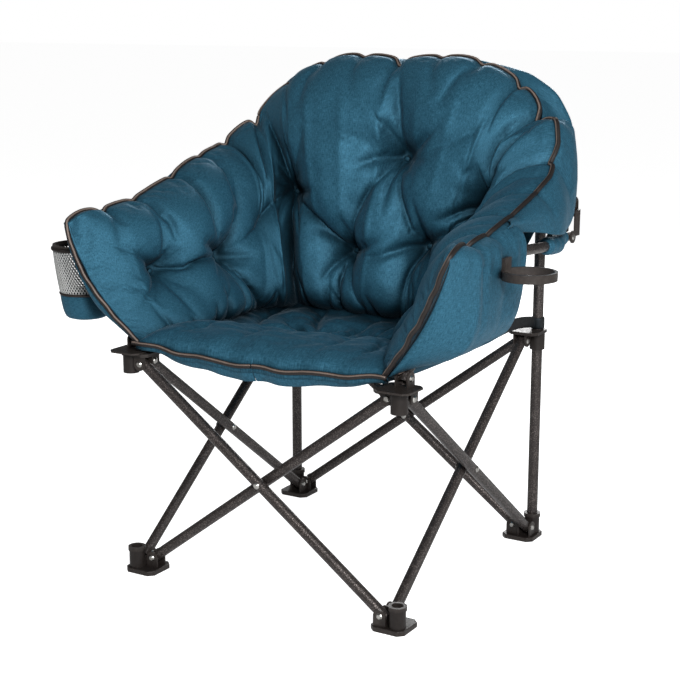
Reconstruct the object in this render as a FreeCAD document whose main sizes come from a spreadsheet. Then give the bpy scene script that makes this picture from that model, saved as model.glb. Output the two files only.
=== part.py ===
"""Padded folding camp chair: four-sided cross-bar frame, folding back bow, swinging arms and a padded bucket.

Millimetres, +Z up, the chair faces -Y. The origin is on the floor, midway between the four feet.
Corners are numbered 0 front right, 1 rear right, 2 rear left, 3 front left: each is corner 0 turned
about Z by a quarter turn more, and so are the four sides, 0 front, 1 right, 2 rear, 3 left.
"""
import FreeCAD, Part
import math
import os

from FreeCAD import Placement, Rotation, Vector

SIZES = (
    ("pin_half", 230.0, "half the spacing of the leg pins"),
    ("foot_pin_height", 24.0, "leg pins in the feet, above the floor"),
    ("hub_pin_height", 370.0, "leg pins in the hubs, above the floor"),
    ("bar_diameter", 18.0, "crossing leg bars"),
    ("bar_wall", 1.2, "wall of every steel tube"),
    ("bar_gap", 0.6, "gap between the two bars of a cross"),
    ("bar_overhang", 7.0, "bar length past each pin"),
    ("corner_room", 2.5, "room between a bar's end and the next clevis"),
    ("pin_diameter", 6.0, "rivet shanks"),
    ("pin_clearance", 0.05, "radial clearance of a rivet in its hole"),
    ("rivet_head", 11.0, "diameter of a rivet head"),
    ("rivet_crown", 7.0, "flat on top of a rivet head"),
    ("rivet_height", 2.2, "height of a rivet head"),
    ("ear_thickness", 2.6, "clevis ears"),
    ("ear_radius", 11.0, "rounding of a clevis ear about its pin"),
    ("ear_clearance", 0.5, "side clearance of a tube in its clevis"),
    ("foot_width", 60.0, "square base of a foot"),
    ("foot_thickness", 8.0, "base of a foot"),
    ("foot_chamfer", 9.0, "cut corners of a foot and of a hub flange"),
    ("foot_edge", 1.5, "rounded top edge of a foot"),
    ("foot_offset", 13.0, "middle of a foot and of a hub flange outside the pin corner"),
    ("socket_height", 44.0, "post socket of a foot"),
    ("socket_floor", 6.0, "floor under the post"),
    ("socket_lip", 1.6, "raised lip round the socket mouth"),
    ("socket_lip_height", 7.0, "height of that lip"),
    ("collar_wall", 4.0, "wall of sockets and collars round a post"),
    ("collar_room", 1.1, "room between a collar and the bar ends"),
    ("post_diameter", 19.0, "rear posts"),
    ("post_fit", 0.1, "radial fit of a post in its socket and cap"),
    ("post_slide", 0.4, "radial clearance of a hub sliding on a post"),
    ("post_drop", 13.0, "top end of a post below the bow pivots"),
    ("flange_thickness", 5.5, "top flange of a hub"),
    ("flange_room", 1.1, "room between a bar's end and the flange"),
    ("hub_width", 57.0, "square flange of a hub"),
    ("collar_drop", 18.0, "collar length below the hub pins"),
    ("cap_drop", 10.0, "length of the bracket cap on the post"),
    ("cap_top", 5.0, "closed top of the bracket cap"),
    ("bracket_reach", 54.0, "bow pivot outside the post axis"),
    ("bracket_thickness", 10.0, "bracket plate"),
    ("bracket_width", 28.0, "bracket plate, fore and aft"),
    ("bracket_tip", 14.0, "bracket plate past the bow pivot"),
    ("rail_diameter", 17.0, "bow and arm tubes"),
    ("rail_overhang", 8.0, "bow and arm tube past its end pin"),
    ("bracket_height", 57.0, "bow pivots above the arm rail pivots"),
    ("bow_height", 845.0, "bow centre hinge above the floor"),
    ("bow_lean", 4.0, "inward lean of the bow's side"),
    ("bow_side_share", 0.4469027, "upper end of the bow's side, as a share of the bow's rise"),
    ("bow_shoulder", 262.0, "bow shoulder out from the middle"),
    ("bow_shoulder_drop", 19.0, "bow shoulder below the centre hinge"),
    ("bow_flat", 140.0, "level stretch each side of the centre hinge"),
    ("bow_bend", 138.0, "widest bends of the bow"),
    ("bow_bend_share", 0.62, "its bends in a low bow, as a share of its rise"),
    ("bow_slack", 1.5, "radial clearance of the centre hinge pin"),
    ("knuckle_length", 30.0, "fixed rivet of the centre knuckle from its hinge pin"),
    ("knuckle_room", 14.0, "left half bow stops this short of the hinge pin"),
    ("knuckle_plate", 3.0, "plates of the centre knuckle"),
    ("rail_pivot_x", 315.0, "arm rail pivot out from the middle"),
    ("rail_pivot_y", 235.0, "arm rail pivot behind the middle"),
    ("rail_pivot_height", 562.0, "arm rail pivot above the floor"),
    ("rail_ear_back", 6.0, "arm rail ears hang this far behind the rail pivot"),
    ("rail_straight", 50.0, "straight rear end of an arm rail"),
    ("rail_flare_end", 90.0, "arm rail is fully flared out this far behind the middle"),
    ("rail_tip", 205.0, "front tip of an arm rail ahead of the middle"),
    ("rail_climb", 26.0, "rise of an arm rail from pivot to tip"),
    ("rail_bend", 110.0, "bends of an arm rail"),
    ("lap_gap", 0.8, "side gap between an arm rail and its upright"),
    ("upright_pivot_y", 240.0, "arm upright pivot ahead of the middle"),
    ("upright_pivot_rise", 13.0, "arm upright pivot above the arm foot"),
    ("upright_foot", 26.0, "straight lower end of an arm upright"),
    ("upright_tip", 60.0, "height of the tip above the flared stretch"),
    ("upright_lap", 28.0, "height of the tip above the arm rail pivot"),
    ("upright_bend", 58.0, "bends of an arm upright"),
    ("arm_foot_thickness", 3.0, "plate of an arm foot"),
    ("arm_foot_tip", 54.0, "outer tip of an arm foot outside the pin corner"),
    ("arm_foot_inner", 6.0, "inner edge of an arm foot inside the pin corner"),
    ("sleeve_diameter", 32.0, "fabric sleeve on the rear end of an arm rail"),
    ("sleeve_gap", 0.4, "radial gap between a sleeve and its tube"),
    ("sleeve_start", 23.0, "sleeve begins this far ahead of the rail pivot"),
    ("sleeve_end", 40.0, "sleeve ends this far behind the middle"),
    ("skin_sleeve", 24.0, "sleeve of the back skin on the bow"),
    ("skin_start", 24.0, "back skin begins this far above the bow pivot"),
    ("skin_end", 48.0, "its sleeve ends this far from the middle"),
    ("skin_thickness", 2.0, "cloth of the back skin"),
    ("skin_gap", 2.4, "gap between the back skin and the back pad's lower edge"),
    ("strap_height", 14.0, "corner straps of the seat"),
    ("strap_thickness", 2.4, "webbing of those straps"),
    ("strap_lift", 0.5, "strap loop above the hub flange"),
    ("strap_gap", 0.5, "gap between a strap loop and its post"),
    ("seat_inset", 4.0, "sides of the seat pad inside the bucket's lower edge"),
    ("seat_base", 393.0, "underside of the seat pad"),
    ("seat_edge", 10.0, "thickness of the seat pad at its sides"),
    ("seat_crown", 24.0, "crown of the seat pad above its edge"),
    ("seat_front", 264.0, "front edge of the seat pad ahead of the middle"),
    ("seat_rear", 146.0, "rear edge of the seat pad behind the middle"),
    ("seat_waist", 5.0, "how far the seat pad's sides draw in"),
    ("seam_gap", 0.6, "gap between neighbouring pads"),
    ("shell_base", 412.0, "lower edge of the bucket"),
    ("shell_room", 18.0, "room for an upright between the bucket's lower edge and its axis"),
    ("shell_rear", 150.0, "rear of the bucket at its lower edge"),
    ("shell_front", 258.0, "front of the bucket at its lower edge"),
    ("shell_corner", 130.0, "rear corner radius of the bucket in plan"),
    ("rim_spread", 82.0, "rim of the arms outside the post axis"),
    ("rim_rear", 232.0, "rear of the rim"),
    ("rim_front", 282.0, "front of the rim"),
    ("arm_rise", 15.5, "rim over the arms above the arm rail"),
    ("back_height", 862.0, "rim over the back"),
    ("pad_edge", 14.0, "padding at the rim, the lower edge and the front of an arm"),
    ("pad_core", 20.0, "more padding away from the edges"),
    ("puff_depth", 58.0, "swell of a puff between the tufts"),
    ("tuft_reach", 42.0, "how far a tuft draws the padding in"),
    ("front_taper", 165.0, "arm padding thins out over this length at its front"),
    ("tuft_top", 685.0, "tuft in the middle of the back"),
    ("tuft_back", 520.0, "lower tufts of the back"),
    ("tuft_corner", 616.0, "tufts in the rear corners"),
    ("tuft_arm_rear", 511.0, "rear tufts of the arms"),
    ("tuft_arm_front", 507.0, "front tufts of the arms"),
    ("panel_thickness", 2.0, "outer arm panels"),
    ("panel_gap", 0.3, "gap between a panel and the arm rail and rim it is sewn to"),
    ("panel_room", 4.0, "room between a panel and the upright and the arm foot"),
    ("panel_belly", 88.0, "height over which a panel rounds out from its lower edge"),
    ("panel_front", 280.0, "front edge of a panel ahead of the middle"),
    ("panel_rear", 112.0, "rear edge of a panel ahead of the middle"),
    ("panel_base", 412.0, "lower edge of a panel"),
    ("holder_diameter", 96.0, "mesh cup holder"),
    ("holder_wall", 2.4, "mesh and base of the cup holder"),
    ("holder_rim", 7.0, "height of the stiff rim of the cup holder"),
    ("holder_rim_width", 4.5, "width of that rim"),
    ("holder_drop", 14.0, "rim of the cup holder below the arm rail pivot"),
    ("holder_mesh", 78.0, "height of its mesh band"),
    ("holder_base", 44.0, "height of its closed lower band"),
    ("holder_place", 190.0, "cup holder ahead of the middle"),
    ("holder_gap", 0.3, "gap between the cup holder and its panel"),
    ("ring_diameter", 84.0, "moulded cup ring"),
    ("ring_wall", 5.0, "wall of the cup ring"),
    ("ring_height", 13.0, "height of the cup ring"),
    ("ring_rise", 4.0, "top of the cup ring above the arm rail pivot"),
    ("ring_place", 140.0, "cup ring ahead of the middle"),
    ("ring_block", 7.0, "block that holds the cup ring off its panel"),
    ("ring_block_length", 24.0, "length of that block along the panel"),
    ("ring_block_height", 30.0, "height of that block"),
    ("ring_gap", 0.3, "gap between that block and the panel"),
)

PLACES = (
    ("bar_reach", "sqrt(sizes.bar_overhang^2 + (sizes.bar_diameter / 2)^2)"),
    ("bar_length", "sqrt(4 * sizes.pin_half^2 + (sizes.hub_pin_height - sizes.foot_pin_height)^2)"),
    ("bar_side", "sizes.bar_diameter / 2 + sizes.ear_clearance"),
    ("outer_plane", "sizes.pin_half + bar_reach + sizes.corner_room + sizes.ear_thickness + bar_side"),
    ("inner_plane", "outer_plane - sizes.bar_diameter - sizes.bar_gap"),
    ("collar_radius", "sizes.post_diameter / 2 + sizes.collar_wall"),
    ("post_place", "sizes.pin_half + bar_reach + sizes.collar_room + collar_radius"),
    ("flange_base", "sizes.hub_pin_height + bar_reach + sizes.flange_room"),
    ("flange_top", "flange_base + sizes.flange_thickness"),
    ("arm_foot_top", "flange_top + sizes.arm_foot_thickness"),
    ("upright_pivot_height", "arm_foot_top + sizes.upright_pivot_rise"),
    ("pin_hole", "sizes.pin_diameter / 2 + sizes.pin_clearance"),
    ("rail_side", "sizes.rail_diameter / 2 + sizes.ear_clearance"),
    ("rail_reach", "sqrt(sizes.rail_overhang^2 + (sizes.rail_diameter / 2)^2)"),
    ("bow_pivot_x", "post_place + sizes.bracket_reach"),
    ("bow_pivot_height", "sizes.rail_pivot_height + sizes.bracket_height"),
    ("post_top", "bow_pivot_height - sizes.post_drop"),
    ("bow_rise", "sizes.bow_height - bow_pivot_height"),
    ("bow_side_height", "bow_pivot_height + sizes.bow_side_share * bow_rise"),
    ("bow_radius", "min(sizes.bow_bend; sizes.bow_bend_share * bow_rise)"),
    ("shell_half", "post_place - sizes.shell_room"),
    ("seat_half", "shell_half - sizes.seat_inset"),
    ("rim_half", "post_place + sizes.rim_spread"),
    ("upright_x", "rim_half"),
    ("upright_length", "sizes.rail_pivot_height + sizes.upright_lap - upright_pivot_height"),
    ("upright_rise", "upright_length - sizes.upright_tip"),
    ("arm_height", "sizes.rail_pivot_height + sizes.rail_climb + sizes.rail_diameter / 2 + sizes.arm_rise"),
    ("holder_top", "sizes.rail_pivot_height - sizes.holder_drop"),
    ("ring_top", "sizes.rail_pivot_height + sizes.ring_rise"),
    ("plate_top", "bow_pivot_height - rail_reach - sizes.flange_room"),
    ("plate_base", "plate_top - sizes.bracket_thickness"),
    ("rail_x", "upright_x + sizes.rail_diameter + sizes.lap_gap"),
    ("panel_x", "rail_x + sizes.rail_diameter / 2 + sizes.panel_gap"),
    ("holder_x", "panel_x + sizes.panel_thickness + sizes.holder_gap + sizes.holder_diameter / 2"),
    ("ring_face", "panel_x + sizes.panel_thickness + sizes.ring_gap"),
    ("ring_x", "ring_face + sizes.ring_block + sizes.ring_diameter / 2 - sizes.ring_wall"),
)

SIDE_NAMES = ("front", "right", "rear", "left")
CORNER_NAMES = ("front_right", "rear_right", "rear_left", "front_left")
REAR_CORNERS = (1, 2)
QUARTER_TURN = 90.0
BUCKET_SEAM = 1.5
ARM_FRONT = 3.0
BACK_STATIONS = (0.15, 0.32, 0.5, 0.7, 0.9, 1.08, 1.25, 1.38)
ARM_STATIONS = (1.62, 1.78, 1.95, 2.08, 2.2, 2.34, 2.48, 2.62, 2.75, 2.9)
SECTION_SHARES = (1, 0.95, 0.86, 0.74, 0.62, 0.5, 0.38, 0.26, 0.14, 0.05, 0)
TUFT_PULL = 0.85
BELLY_SHARES = ((0.52, 0.22), (0.86, 0.54))
CORE_POWER = 4
PUFF_POWER = 3
SKIN_SLICES = 19
HEAD_START = {"x": Rotation(Vector(0, 1, 0), QUARTER_TURN), "y": Rotation(Vector(1, 0, 0), -QUARTER_TURN)}
HEAD_BACK = {"x": Rotation(Vector(0, 1, 0), -QUARTER_TURN), "y": Rotation(Vector(1, 0, 0), QUARTER_TURN)}

doc = FreeCAD.newDocument("camp_chair")
sizes = doc.addObject("Spreadsheet::Sheet", "sizes")
places = doc.addObject("Spreadsheet::Sheet", "places")
nodes = []


def fill_sheets():
    """Write the driving sizes as plain numbers, and the places worked out from them as formulas."""
    for row, (alias, number, note) in enumerate(SIZES, 1):
        sizes.set(f"A{row}", str(number))
        sizes.setAlias(f"A{row}", alias)
        sizes.set(f"B{row}", note)
    for row, (alias, formula) in enumerate(PLACES, 1):
        places.set(f"A{row}", f"={formula}")
        places.setAlias(f"A{row}", alias)
    doc.recompute()


def size(alias):
    """The number in a cell of the sizes sheet."""
    return float(getattr(sizes, alias))


def place(alias):
    """The number in a cell of the places sheet."""
    return float(getattr(places, alias))


def bind(thing, **formulas):
    """Bind properties of a document object to formulas of the sheets."""
    for name, formula in formulas.items():
        thing.setExpression(name, formula)


def stand(thing, x, y, z):
    """Bind an object's position to three formulas."""
    for axis, formula in zip("xyz", (x, y, z)):
        thing.setExpression(f"Placement.Base.{axis}", formula)
    return thing


def block(length, width, height, x, y, z):
    """A box with its lowest corner at x, y, z."""
    box = doc.addObject("Part::Box", "block")
    bind(box, Length=length, Width=width, Height=height)
    return stand(box, x, y, z)


def rod(axis, radius, length, x, y, z):
    """A cylinder that starts at x, y, z and runs along +X, +Y or +Z."""
    cylinder = doc.addObject("Part::Cylinder", "rod")
    if axis in HEAD_START:
        cylinder.Placement.Rotation = HEAD_START[axis]
    bind(cylinder, Radius=radius, Height=length)
    return stand(cylinder, x, y, z)


def head(axis, turned, x, y, z):
    """A domed rivet head whose flat face is at x, y, z."""
    cone = doc.addObject("Part::Cone", "head")
    cone.Placement.Rotation = HEAD_BACK[axis] if turned else HEAD_START[axis]
    bind(cone, Radius1="sizes.rivet_head / 2", Radius2="sizes.rivet_crown / 2", Height="sizes.rivet_height")
    return stand(cone, x, y, z)


def fused(*pieces):
    """Several shapes as one solid."""
    union = doc.addObject("Part::MultiFuse", "union")
    union.Shapes = list(pieces)
    union.Refine = True
    return union


def drilled(base, *tools):
    """A shape with others taken out of it."""
    cut = doc.addObject("Part::Cut", "cut")
    cut.Base = base
    cut.Tool = tools[0] if len(tools) == 1 else fused(*tools)
    cut.Refine = True
    return cut


def edged(base, feature, amount, wanted):
    """A shape with a chamfer or fillet on the edges that pass a test."""
    doc.recompute()
    dressed = doc.addObject(f"Part::{feature}", feature.lower())
    dressed.Base = base
    limit = size(amount)
    numbers = [n for n, edge in enumerate(base.Shape.Edges, 1) if wanted(edge)]
    dressed.Edges = [(n, limit, limit) for n in numbers]
    return dressed


def is_upright(edge):
    """Whether an edge runs along Z."""
    ends = [vertex.Point for vertex in edge.Vertexes]
    return len(ends) == 2 and (ends[1] - ends[0]).cross(Vector(0, 0, 1)).Length < 1e-6


def grouped(*pieces):
    """Several separate solids in one object."""
    group = doc.addObject("Part::Compound", "group")
    group.Links = list(pieces)
    return group


def mirrored(source):
    """The left-hand twin of a right-hand shape."""
    twin = doc.addObject("Part::Mirroring", "twin")
    twin.Source = source
    twin.Normal = Vector(1, 0, 0)
    return twin


def shaped(shape):
    """A document object for a shape made by hand."""
    feature = doc.addObject("Part::Feature", "form")
    feature.Shape = shape
    return feature


def node(thing, label, placement=None):
    """Name a finished sub-part and put it in its place."""
    if placement is not None:
        thing.Placement = placement
    thing.Label = label
    nodes.append(thing)
    return thing


def turned(quarter):
    """The placement of corner or side number quarter."""
    return Placement(Vector(), Rotation(Vector(0, 0, 1), QUARTER_TURN * quarter))


def both_sides(thing, label):
    """Name a right-hand sub-part and its mirrored left-hand twin."""
    node(thing, f"{label}_right")
    node(mirrored(thing), f"{label}_left")


def rivet(axis, start, length, x, y, z):
    """A rivet along X or Y, headed at both ends; start is its lower end along the axis."""
    at = {"x": (start, y, z), "y": (x, start, z)}[axis]
    far = f"{start} + {length}"
    end = {"x": (far, y, z), "y": (x, far, z)}[axis]
    shank = rod(axis, "sizes.pin_diameter / 2", length, *at)
    return fused(shank, head(axis, True, *at), head(axis, False, *end))


def ear(axis, thickness, start, across, height, foot, back):
    """A clevis ear: rounded about its pin and running down or up to a flat foot.

    It stands square to axis and begins at start along it. Its pin is at across and height, and the
    run to the foot begins at back from the pin.
    """
    radius = "sizes.ear_radius"
    lower = f"min({height}; {foot})"
    tall = f"abs({height} - {foot})"
    wide = f"2 * {radius}"
    low = f"{across} + {back}"
    if axis == "x":
        disc = rod("x", radius, thickness, start, across, height)
        return fused(disc, block(thickness, wide, tall, start, low, lower))
    disc = rod("y", radius, thickness, across, start, height)
    return fused(disc, block(wide, thickness, tall, low, start, lower))


def clevis(axis, plane, across, height, foot, side="places.bar_side", back="-sizes.ear_radius"):
    """Two ears either side of a tube, with the drill for their pin."""
    thick = "sizes.ear_thickness"
    starts = (f"{plane} - {side} - {thick}", f"{plane} + {side}")
    pair = [ear(axis, thick, start, across, height, foot, back) for start in starts]
    drill_at = f"{plane} - {side} - 2 * {thick}"
    drill_long = f"2 * {side} + 4 * {thick}"
    at = (drill_at, across, height) if axis == "x" else (across, drill_at, height)
    return pair, rod(axis, "places.pin_hole", drill_long, *at)


def clevis_rivet(axis, plane, across, height, side="places.bar_side"):
    """The rivet of such a clevis."""
    reach = f"({side} + sizes.ear_thickness)"
    return rivet(axis, f"{plane} - {reach}", f"2 * {reach}", across, across, height)


def chamfered_plate(width, thickness, base):
    """A square plate at corner 0 with its four corners cut."""
    start = f"sizes.pin_half + sizes.foot_offset - {width} / 2"
    far = f"-sizes.pin_half - sizes.foot_offset - {width} / 2"
    return edged(block(width, width, thickness, start, far, base), "Chamfer", "foot_chamfer", is_upright)


def make_feet():
    """Feet: a chamfered base, two clevises and a socket for a post."""
    pin = "sizes.foot_pin_height"
    top = "sizes.foot_thickness"
    for corner, name in enumerate(CORNER_NAMES):
        plate = chamfered_plate("sizes.foot_width", top, "0")
        thickness = size("foot_thickness")
        base = edged(plate, "Fillet", "foot_edge", lambda edge: edge.BoundBox.ZMin > thickness - 1e-6)
        outer_ears, outer_drill = clevis("y", "-places.outer_plane", "sizes.pin_half", pin, top)
        inner_ears, inner_drill = clevis("x", "places.inner_plane", "-sizes.pin_half", pin, top)
        at = ("places.post_place", "-places.post_place")
        socket = rod("z", "places.collar_radius", "sizes.socket_height", *at, "0")
        lip_base = "sizes.socket_height - sizes.socket_lip_height"
        lip = rod("z", "places.collar_radius + sizes.socket_lip", "sizes.socket_lip_height", *at, lip_base)
        web_start = "sizes.pin_half + places.bar_reach + sizes.collar_room"
        web_wide = f"places.post_place - ({web_start})"
        web = block(web_wide, web_wide, f"{pin} - {top}", web_start, "-places.post_place", top)
        bore_radius = "sizes.post_diameter / 2 + sizes.post_fit"
        bore = rod("z", bore_radius, "sizes.socket_height", *at, "sizes.socket_floor")
        solid = fused(base, *outer_ears, *inner_ears, socket, lip, web)
        node(drilled(solid, outer_drill, inner_drill, bore), f"foot_{name}", turned(corner))


def corner_rivets(height, outer_axis):
    """The two leg rivets of a foot or hub, in the place of corner 0."""
    inner_axis = "x" if outer_axis == "y" else "y"
    planes = {"x": "", "y": "-"}
    acrosses = {"x": "-sizes.pin_half", "y": "sizes.pin_half"}
    return [
        clevis_rivet(outer_axis, f"{planes[outer_axis]}places.outer_plane", acrosses[outer_axis], height),
        clevis_rivet(inner_axis, f"{planes[inner_axis]}places.inner_plane", acrosses[inner_axis], height),
    ]


def make_hubs():
    """Hubs: a top flange, two hanging clevises and a collar that the rear posts pass through."""
    pin = "sizes.hub_pin_height"
    under = "places.flange_base"
    for corner, name in enumerate(CORNER_NAMES):
        flange = chamfered_plate("sizes.hub_width", "sizes.flange_thickness", under)
        outer_ears, outer_drill = clevis("x", "places.outer_plane", "-sizes.pin_half", pin, under)
        inner_ears, inner_drill = clevis("y", "-places.inner_plane", "sizes.pin_half", pin, under)
        at = ("places.post_place", "-places.post_place", f"{pin} - sizes.collar_drop")
        tall = f"places.flange_top - {pin} + sizes.collar_drop"
        collar = rod("z", "places.collar_radius", tall, *at)
        bore = rod("z", "sizes.post_diameter / 2 + sizes.post_slide", tall, *at)
        solid = fused(flange, *outer_ears, *inner_ears, collar)
        node(drilled(solid, outer_drill, inner_drill, bore), f"hub_{name}", turned(corner))


def make_bars():
    """Leg bars: on every side an outer and an inner tube that cross at a rivet half-way up."""
    tilt = math.degrees(math.atan2(size("hub_pin_height") - size("foot_pin_height"), 2 * size("pin_half")))
    middle = (size("hub_pin_height") + size("foot_pin_height")) / 2
    long = "places.bar_length + 2 * sizes.bar_overhang"
    start = "-places.bar_length / 2 - sizes.bar_overhang"
    for side, name in enumerate(SIDE_NAMES):
        for layer, lean in (("outer", tilt), ("inner", -tilt)):
            tube = rod("x", "sizes.bar_diameter / 2", long, start, "0", "0")
            hollow = rod("x", "sizes.bar_diameter / 2 - sizes.bar_wall", long, start, "0", "0")
            drills = [
                rod("y", "places.pin_hole", "2 * sizes.bar_diameter", x, "-sizes.bar_diameter", "0")
                for x in ("-places.bar_length / 2", "0", "places.bar_length / 2")
            ]
            at = Vector(0, -place(f"{layer}_plane"), middle)
            leaning = Placement(at, Rotation(Vector(0, 1, 0), lean))
            node(drilled(tube, hollow, *drills), f"bar_{name}_{layer}", turned(side).multiply(leaning))
        first = "-places.outer_plane - sizes.bar_diameter / 2"
        through = "2 * sizes.bar_diameter + sizes.bar_gap"
        height = "(sizes.hub_pin_height + sizes.foot_pin_height) / 2"
        node(rivet("y", first, through, "0", "0", height), f"cross_rivet_{name}", turned(side))


def make_posts():
    """Rear posts: tubes that stand in the rear feet and carry the brackets."""
    tall = "places.post_top - sizes.socket_floor"
    at = ("places.post_place", "places.post_place", "sizes.socket_floor")
    tube = rod("z", "sizes.post_diameter / 2", tall, *at)
    hollow = rod("z", "sizes.post_diameter / 2 - sizes.bar_wall", tall, *at)
    both_sides(drilled(tube, hollow), "post")


def make_brackets():
    """Brackets: a cap on the post and a plate with the bow's clevis above and the arm rail's below."""
    cap_start = "places.post_top - sizes.cap_drop"
    cap = rod("z", "places.collar_radius", "sizes.cap_drop + sizes.cap_top",
              "places.post_place", "places.post_place", cap_start)
    bore = rod("z", "sizes.post_diameter / 2 + sizes.post_fit", "sizes.cap_drop",
               "places.post_place", "places.post_place", cap_start)
    plate_long = "sizes.bracket_reach + sizes.bracket_tip"
    plate = block(plate_long, "sizes.bracket_width", "sizes.bracket_thickness",
                  "places.post_place", "places.post_place - sizes.bracket_width / 2", "places.plate_base")
    bow_ears, bow_drill = clevis("y", "places.post_place", "places.bow_pivot_x", "places.bow_pivot_height",
                                 "places.plate_top", "places.rail_side")
    rail_ears, rail_drill = clevis("x", "sizes.rail_pivot_x", "sizes.rail_pivot_y", "sizes.rail_pivot_height",
                                   "places.plate_top", "places.rail_side", "sizes.rail_ear_back")
    solid = fused(cap, plate, *bow_ears, *rail_ears)
    both_sides(drilled(solid, bore, bow_drill, rail_drill), "bracket")


def make_corner_rivets():
    """Rivets of the feet with those of the brackets, and of the hubs with those of the arm feet."""
    for corner, name in enumerate(CORNER_NAMES):
        feet = grouped(*corner_rivets("sizes.foot_pin_height", "y"))
        feet.Placement = turned(corner)
        hubs = grouped(*corner_rivets("sizes.hub_pin_height", "x"))
        hubs.Placement = turned(corner)
        on_right = corner in (0, 1)
        if corner in REAR_CORNERS:
            bow = clevis_rivet("y", "places.post_place", "places.bow_pivot_x",
                               "places.bow_pivot_height", "places.rail_side")
            rail = clevis_rivet("x", "sizes.rail_pivot_x", "sizes.rail_pivot_y",
                                "sizes.rail_pivot_height", "places.rail_side")
            upper = grouped(bow, rail)
            feet = grouped(feet, upper if on_right else mirrored(upper))
        else:
            upright = clevis_rivet("x", "places.post_place", "-sizes.upright_pivot_y",
                                   "places.upright_pivot_height", "places.rail_side")
            hubs = grouped(hubs, upright if on_right else mirrored(upright))
        node(feet, f"foot_rivets_{name}")
        node(hubs, f"hub_rivets_{name}")


def rounded_path(points, radius):
    """A wire of straight runs joined by tangent arcs."""
    edges = []
    start = points[0]
    for before, corner, after in zip(points, points[1:], points[2:]):
        back = (before - corner).normalize()
        ahead = (after - corner).normalize()
        half = back.getAngle(ahead) / 2
        reach = radius / math.tan(half)
        inward = (back + ahead).normalize()
        first = corner + back * reach
        last = corner + ahead * reach
        middle = corner + inward * (radius / math.sin(half) - radius)
        edges.append(Part.LineSegment(start, first).toShape())
        edges.append(Part.Arc(first, middle, last).toShape())
        start = last
    edges.append(Part.LineSegment(start, points[-1]).toShape())
    return Part.Wire(edges)


def swept(path, radius):
    """A round solid along a path."""
    first = path.Edges[0]
    circle = Part.Circle(first.Vertexes[0].Point, first.tangentAt(first.FirstParameter), radius)
    return path.makePipeShell([Part.Wire(circle.toShape())], True, False)


def tube_along(path, outer, inner):
    """A hollow tube along a path."""
    return swept(path, outer).cut(swept(path, inner))


def drill(point, direction, radius, length):
    """A cylinder of the given length, centred on a point."""
    return Part.makeCylinder(radius, length, point - direction * (length / 2), direction)


def bow_points(stop):
    """The right half of the bow from its pivot to where it stops beside the centre hinge."""
    y = place("post_place")
    x = place("bow_pivot_x")
    top = size("bow_height")
    return [
        Vector(x, y, place("bow_pivot_height") - size("rail_overhang")),
        Vector(x - size("bow_lean"), y, place("bow_side_height")),
        Vector(size("bow_shoulder"), y, top - size("bow_shoulder_drop")),
        Vector(size("bow_flat"), y, top),
        Vector(stop, y, top),
    ]


def half_bow(stop):
    """One half of the back bow, on the right, drilled for its pivot."""
    outer = size("rail_diameter") / 2
    path = rounded_path(bow_points(stop), place("bow_radius"))
    tube = tube_along(path, outer, outer - size("bar_wall"))
    pivot = Vector(place("bow_pivot_x"), place("post_place"), place("bow_pivot_height"))
    return tube.cut(drill(pivot, Vector(0, 1, 0), place("pin_hole"), 4 * outer))


def make_bow():
    """Back bow: two half hoops that fold up about a centre knuckle."""
    outer = size("rail_diameter") / 2
    across = Vector(0, 1, 0)
    y = place("post_place")
    centre = Vector(0, y, size("bow_height"))
    fixed = centre + Vector(size("knuckle_length"), 0, 0)
    loose = size("pin_diameter") / 2 + size("bow_slack")
    right = half_bow(-size("rail_overhang")).cut(drill(centre, across, loose, 4 * outer))
    left = half_bow(size("knuckle_room")).cut(drill(fixed, across, place("pin_hole"), 4 * outer))
    node(shaped(right), "bow_right")
    node(mirrored(shaped(left)), "bow_left")
    plate = "sizes.knuckle_plate"
    height = "sizes.bow_height"
    rivet_places = ("0", "-sizes.knuckle_length")
    plates = []
    for start in (f"places.post_place - places.rail_side - {plate}", "places.post_place + places.rail_side"):
        discs = [rod("y", "sizes.rail_diameter / 2", plate, x, start, height) for x in rivet_places]
        strip = block("sizes.knuckle_length", plate, "sizes.rail_diameter",
                      "-sizes.knuckle_length", start, f"{height} - sizes.rail_diameter / 2")
        plates.append(fused(*discs, strip))
    reach = f"(places.rail_side + {plate})"
    behind = f"places.post_place - 2 * {reach}"
    drills = [rod("y", "places.pin_hole", f"4 * {reach}", x, behind, height) for x in rivet_places]
    begin = f"places.post_place - {reach}"
    node(drilled(grouped(*plates), *drills), "bow_knuckle")
    node(grouped(*[rivet("y", begin, f"2 * {reach}", x, "0", height) for x in rivet_places]), "bow_rivets")


def make_back_skins():
    """Outer back skins: a sleeve on each half bow, and the cloth that hangs from it behind the back pad."""
    points = bow_points(size("skin_end"))
    upward = (points[1] - points[0]).normalize()
    points[0] = points[0] + upward * (size("rail_overhang") + size("skin_start"))
    path = rounded_path(points, place("bow_radius"))
    hems = list(reversed(path.discretize(Number=SKIN_SLICES)))
    thick = size("skin_thickness")
    off = size("skin_gap")
    first = middle_station()
    slices = []
    for number, hem in enumerate(hems):
        station = first + (BUCKET_SEAM - first) * number / (SKIN_SLICES - 1)
        foot, inward = around(station, place("shell_half"), size("shell_rear"), size("shell_front"))
        foot = foot + inward * -off
        foot.z = size("shell_base")
        outward = inward * -thick
        hem = hem + (foot - hem).normalize() * (size("skin_sleeve") / 2 + off + thick) - outward * 0.5
        slices.append(closed_wire([foot, hem, hem + outward, foot + outward], {}))
    cloth = Part.makeLoft(slices, True, True)
    sleeve = tube_along(path, size("skin_sleeve") / 2, size("rail_diameter") / 2 + size("sleeve_gap"))
    both_sides(grouped(shaped(sleeve), shaped(cloth)), "back_skin")


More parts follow.
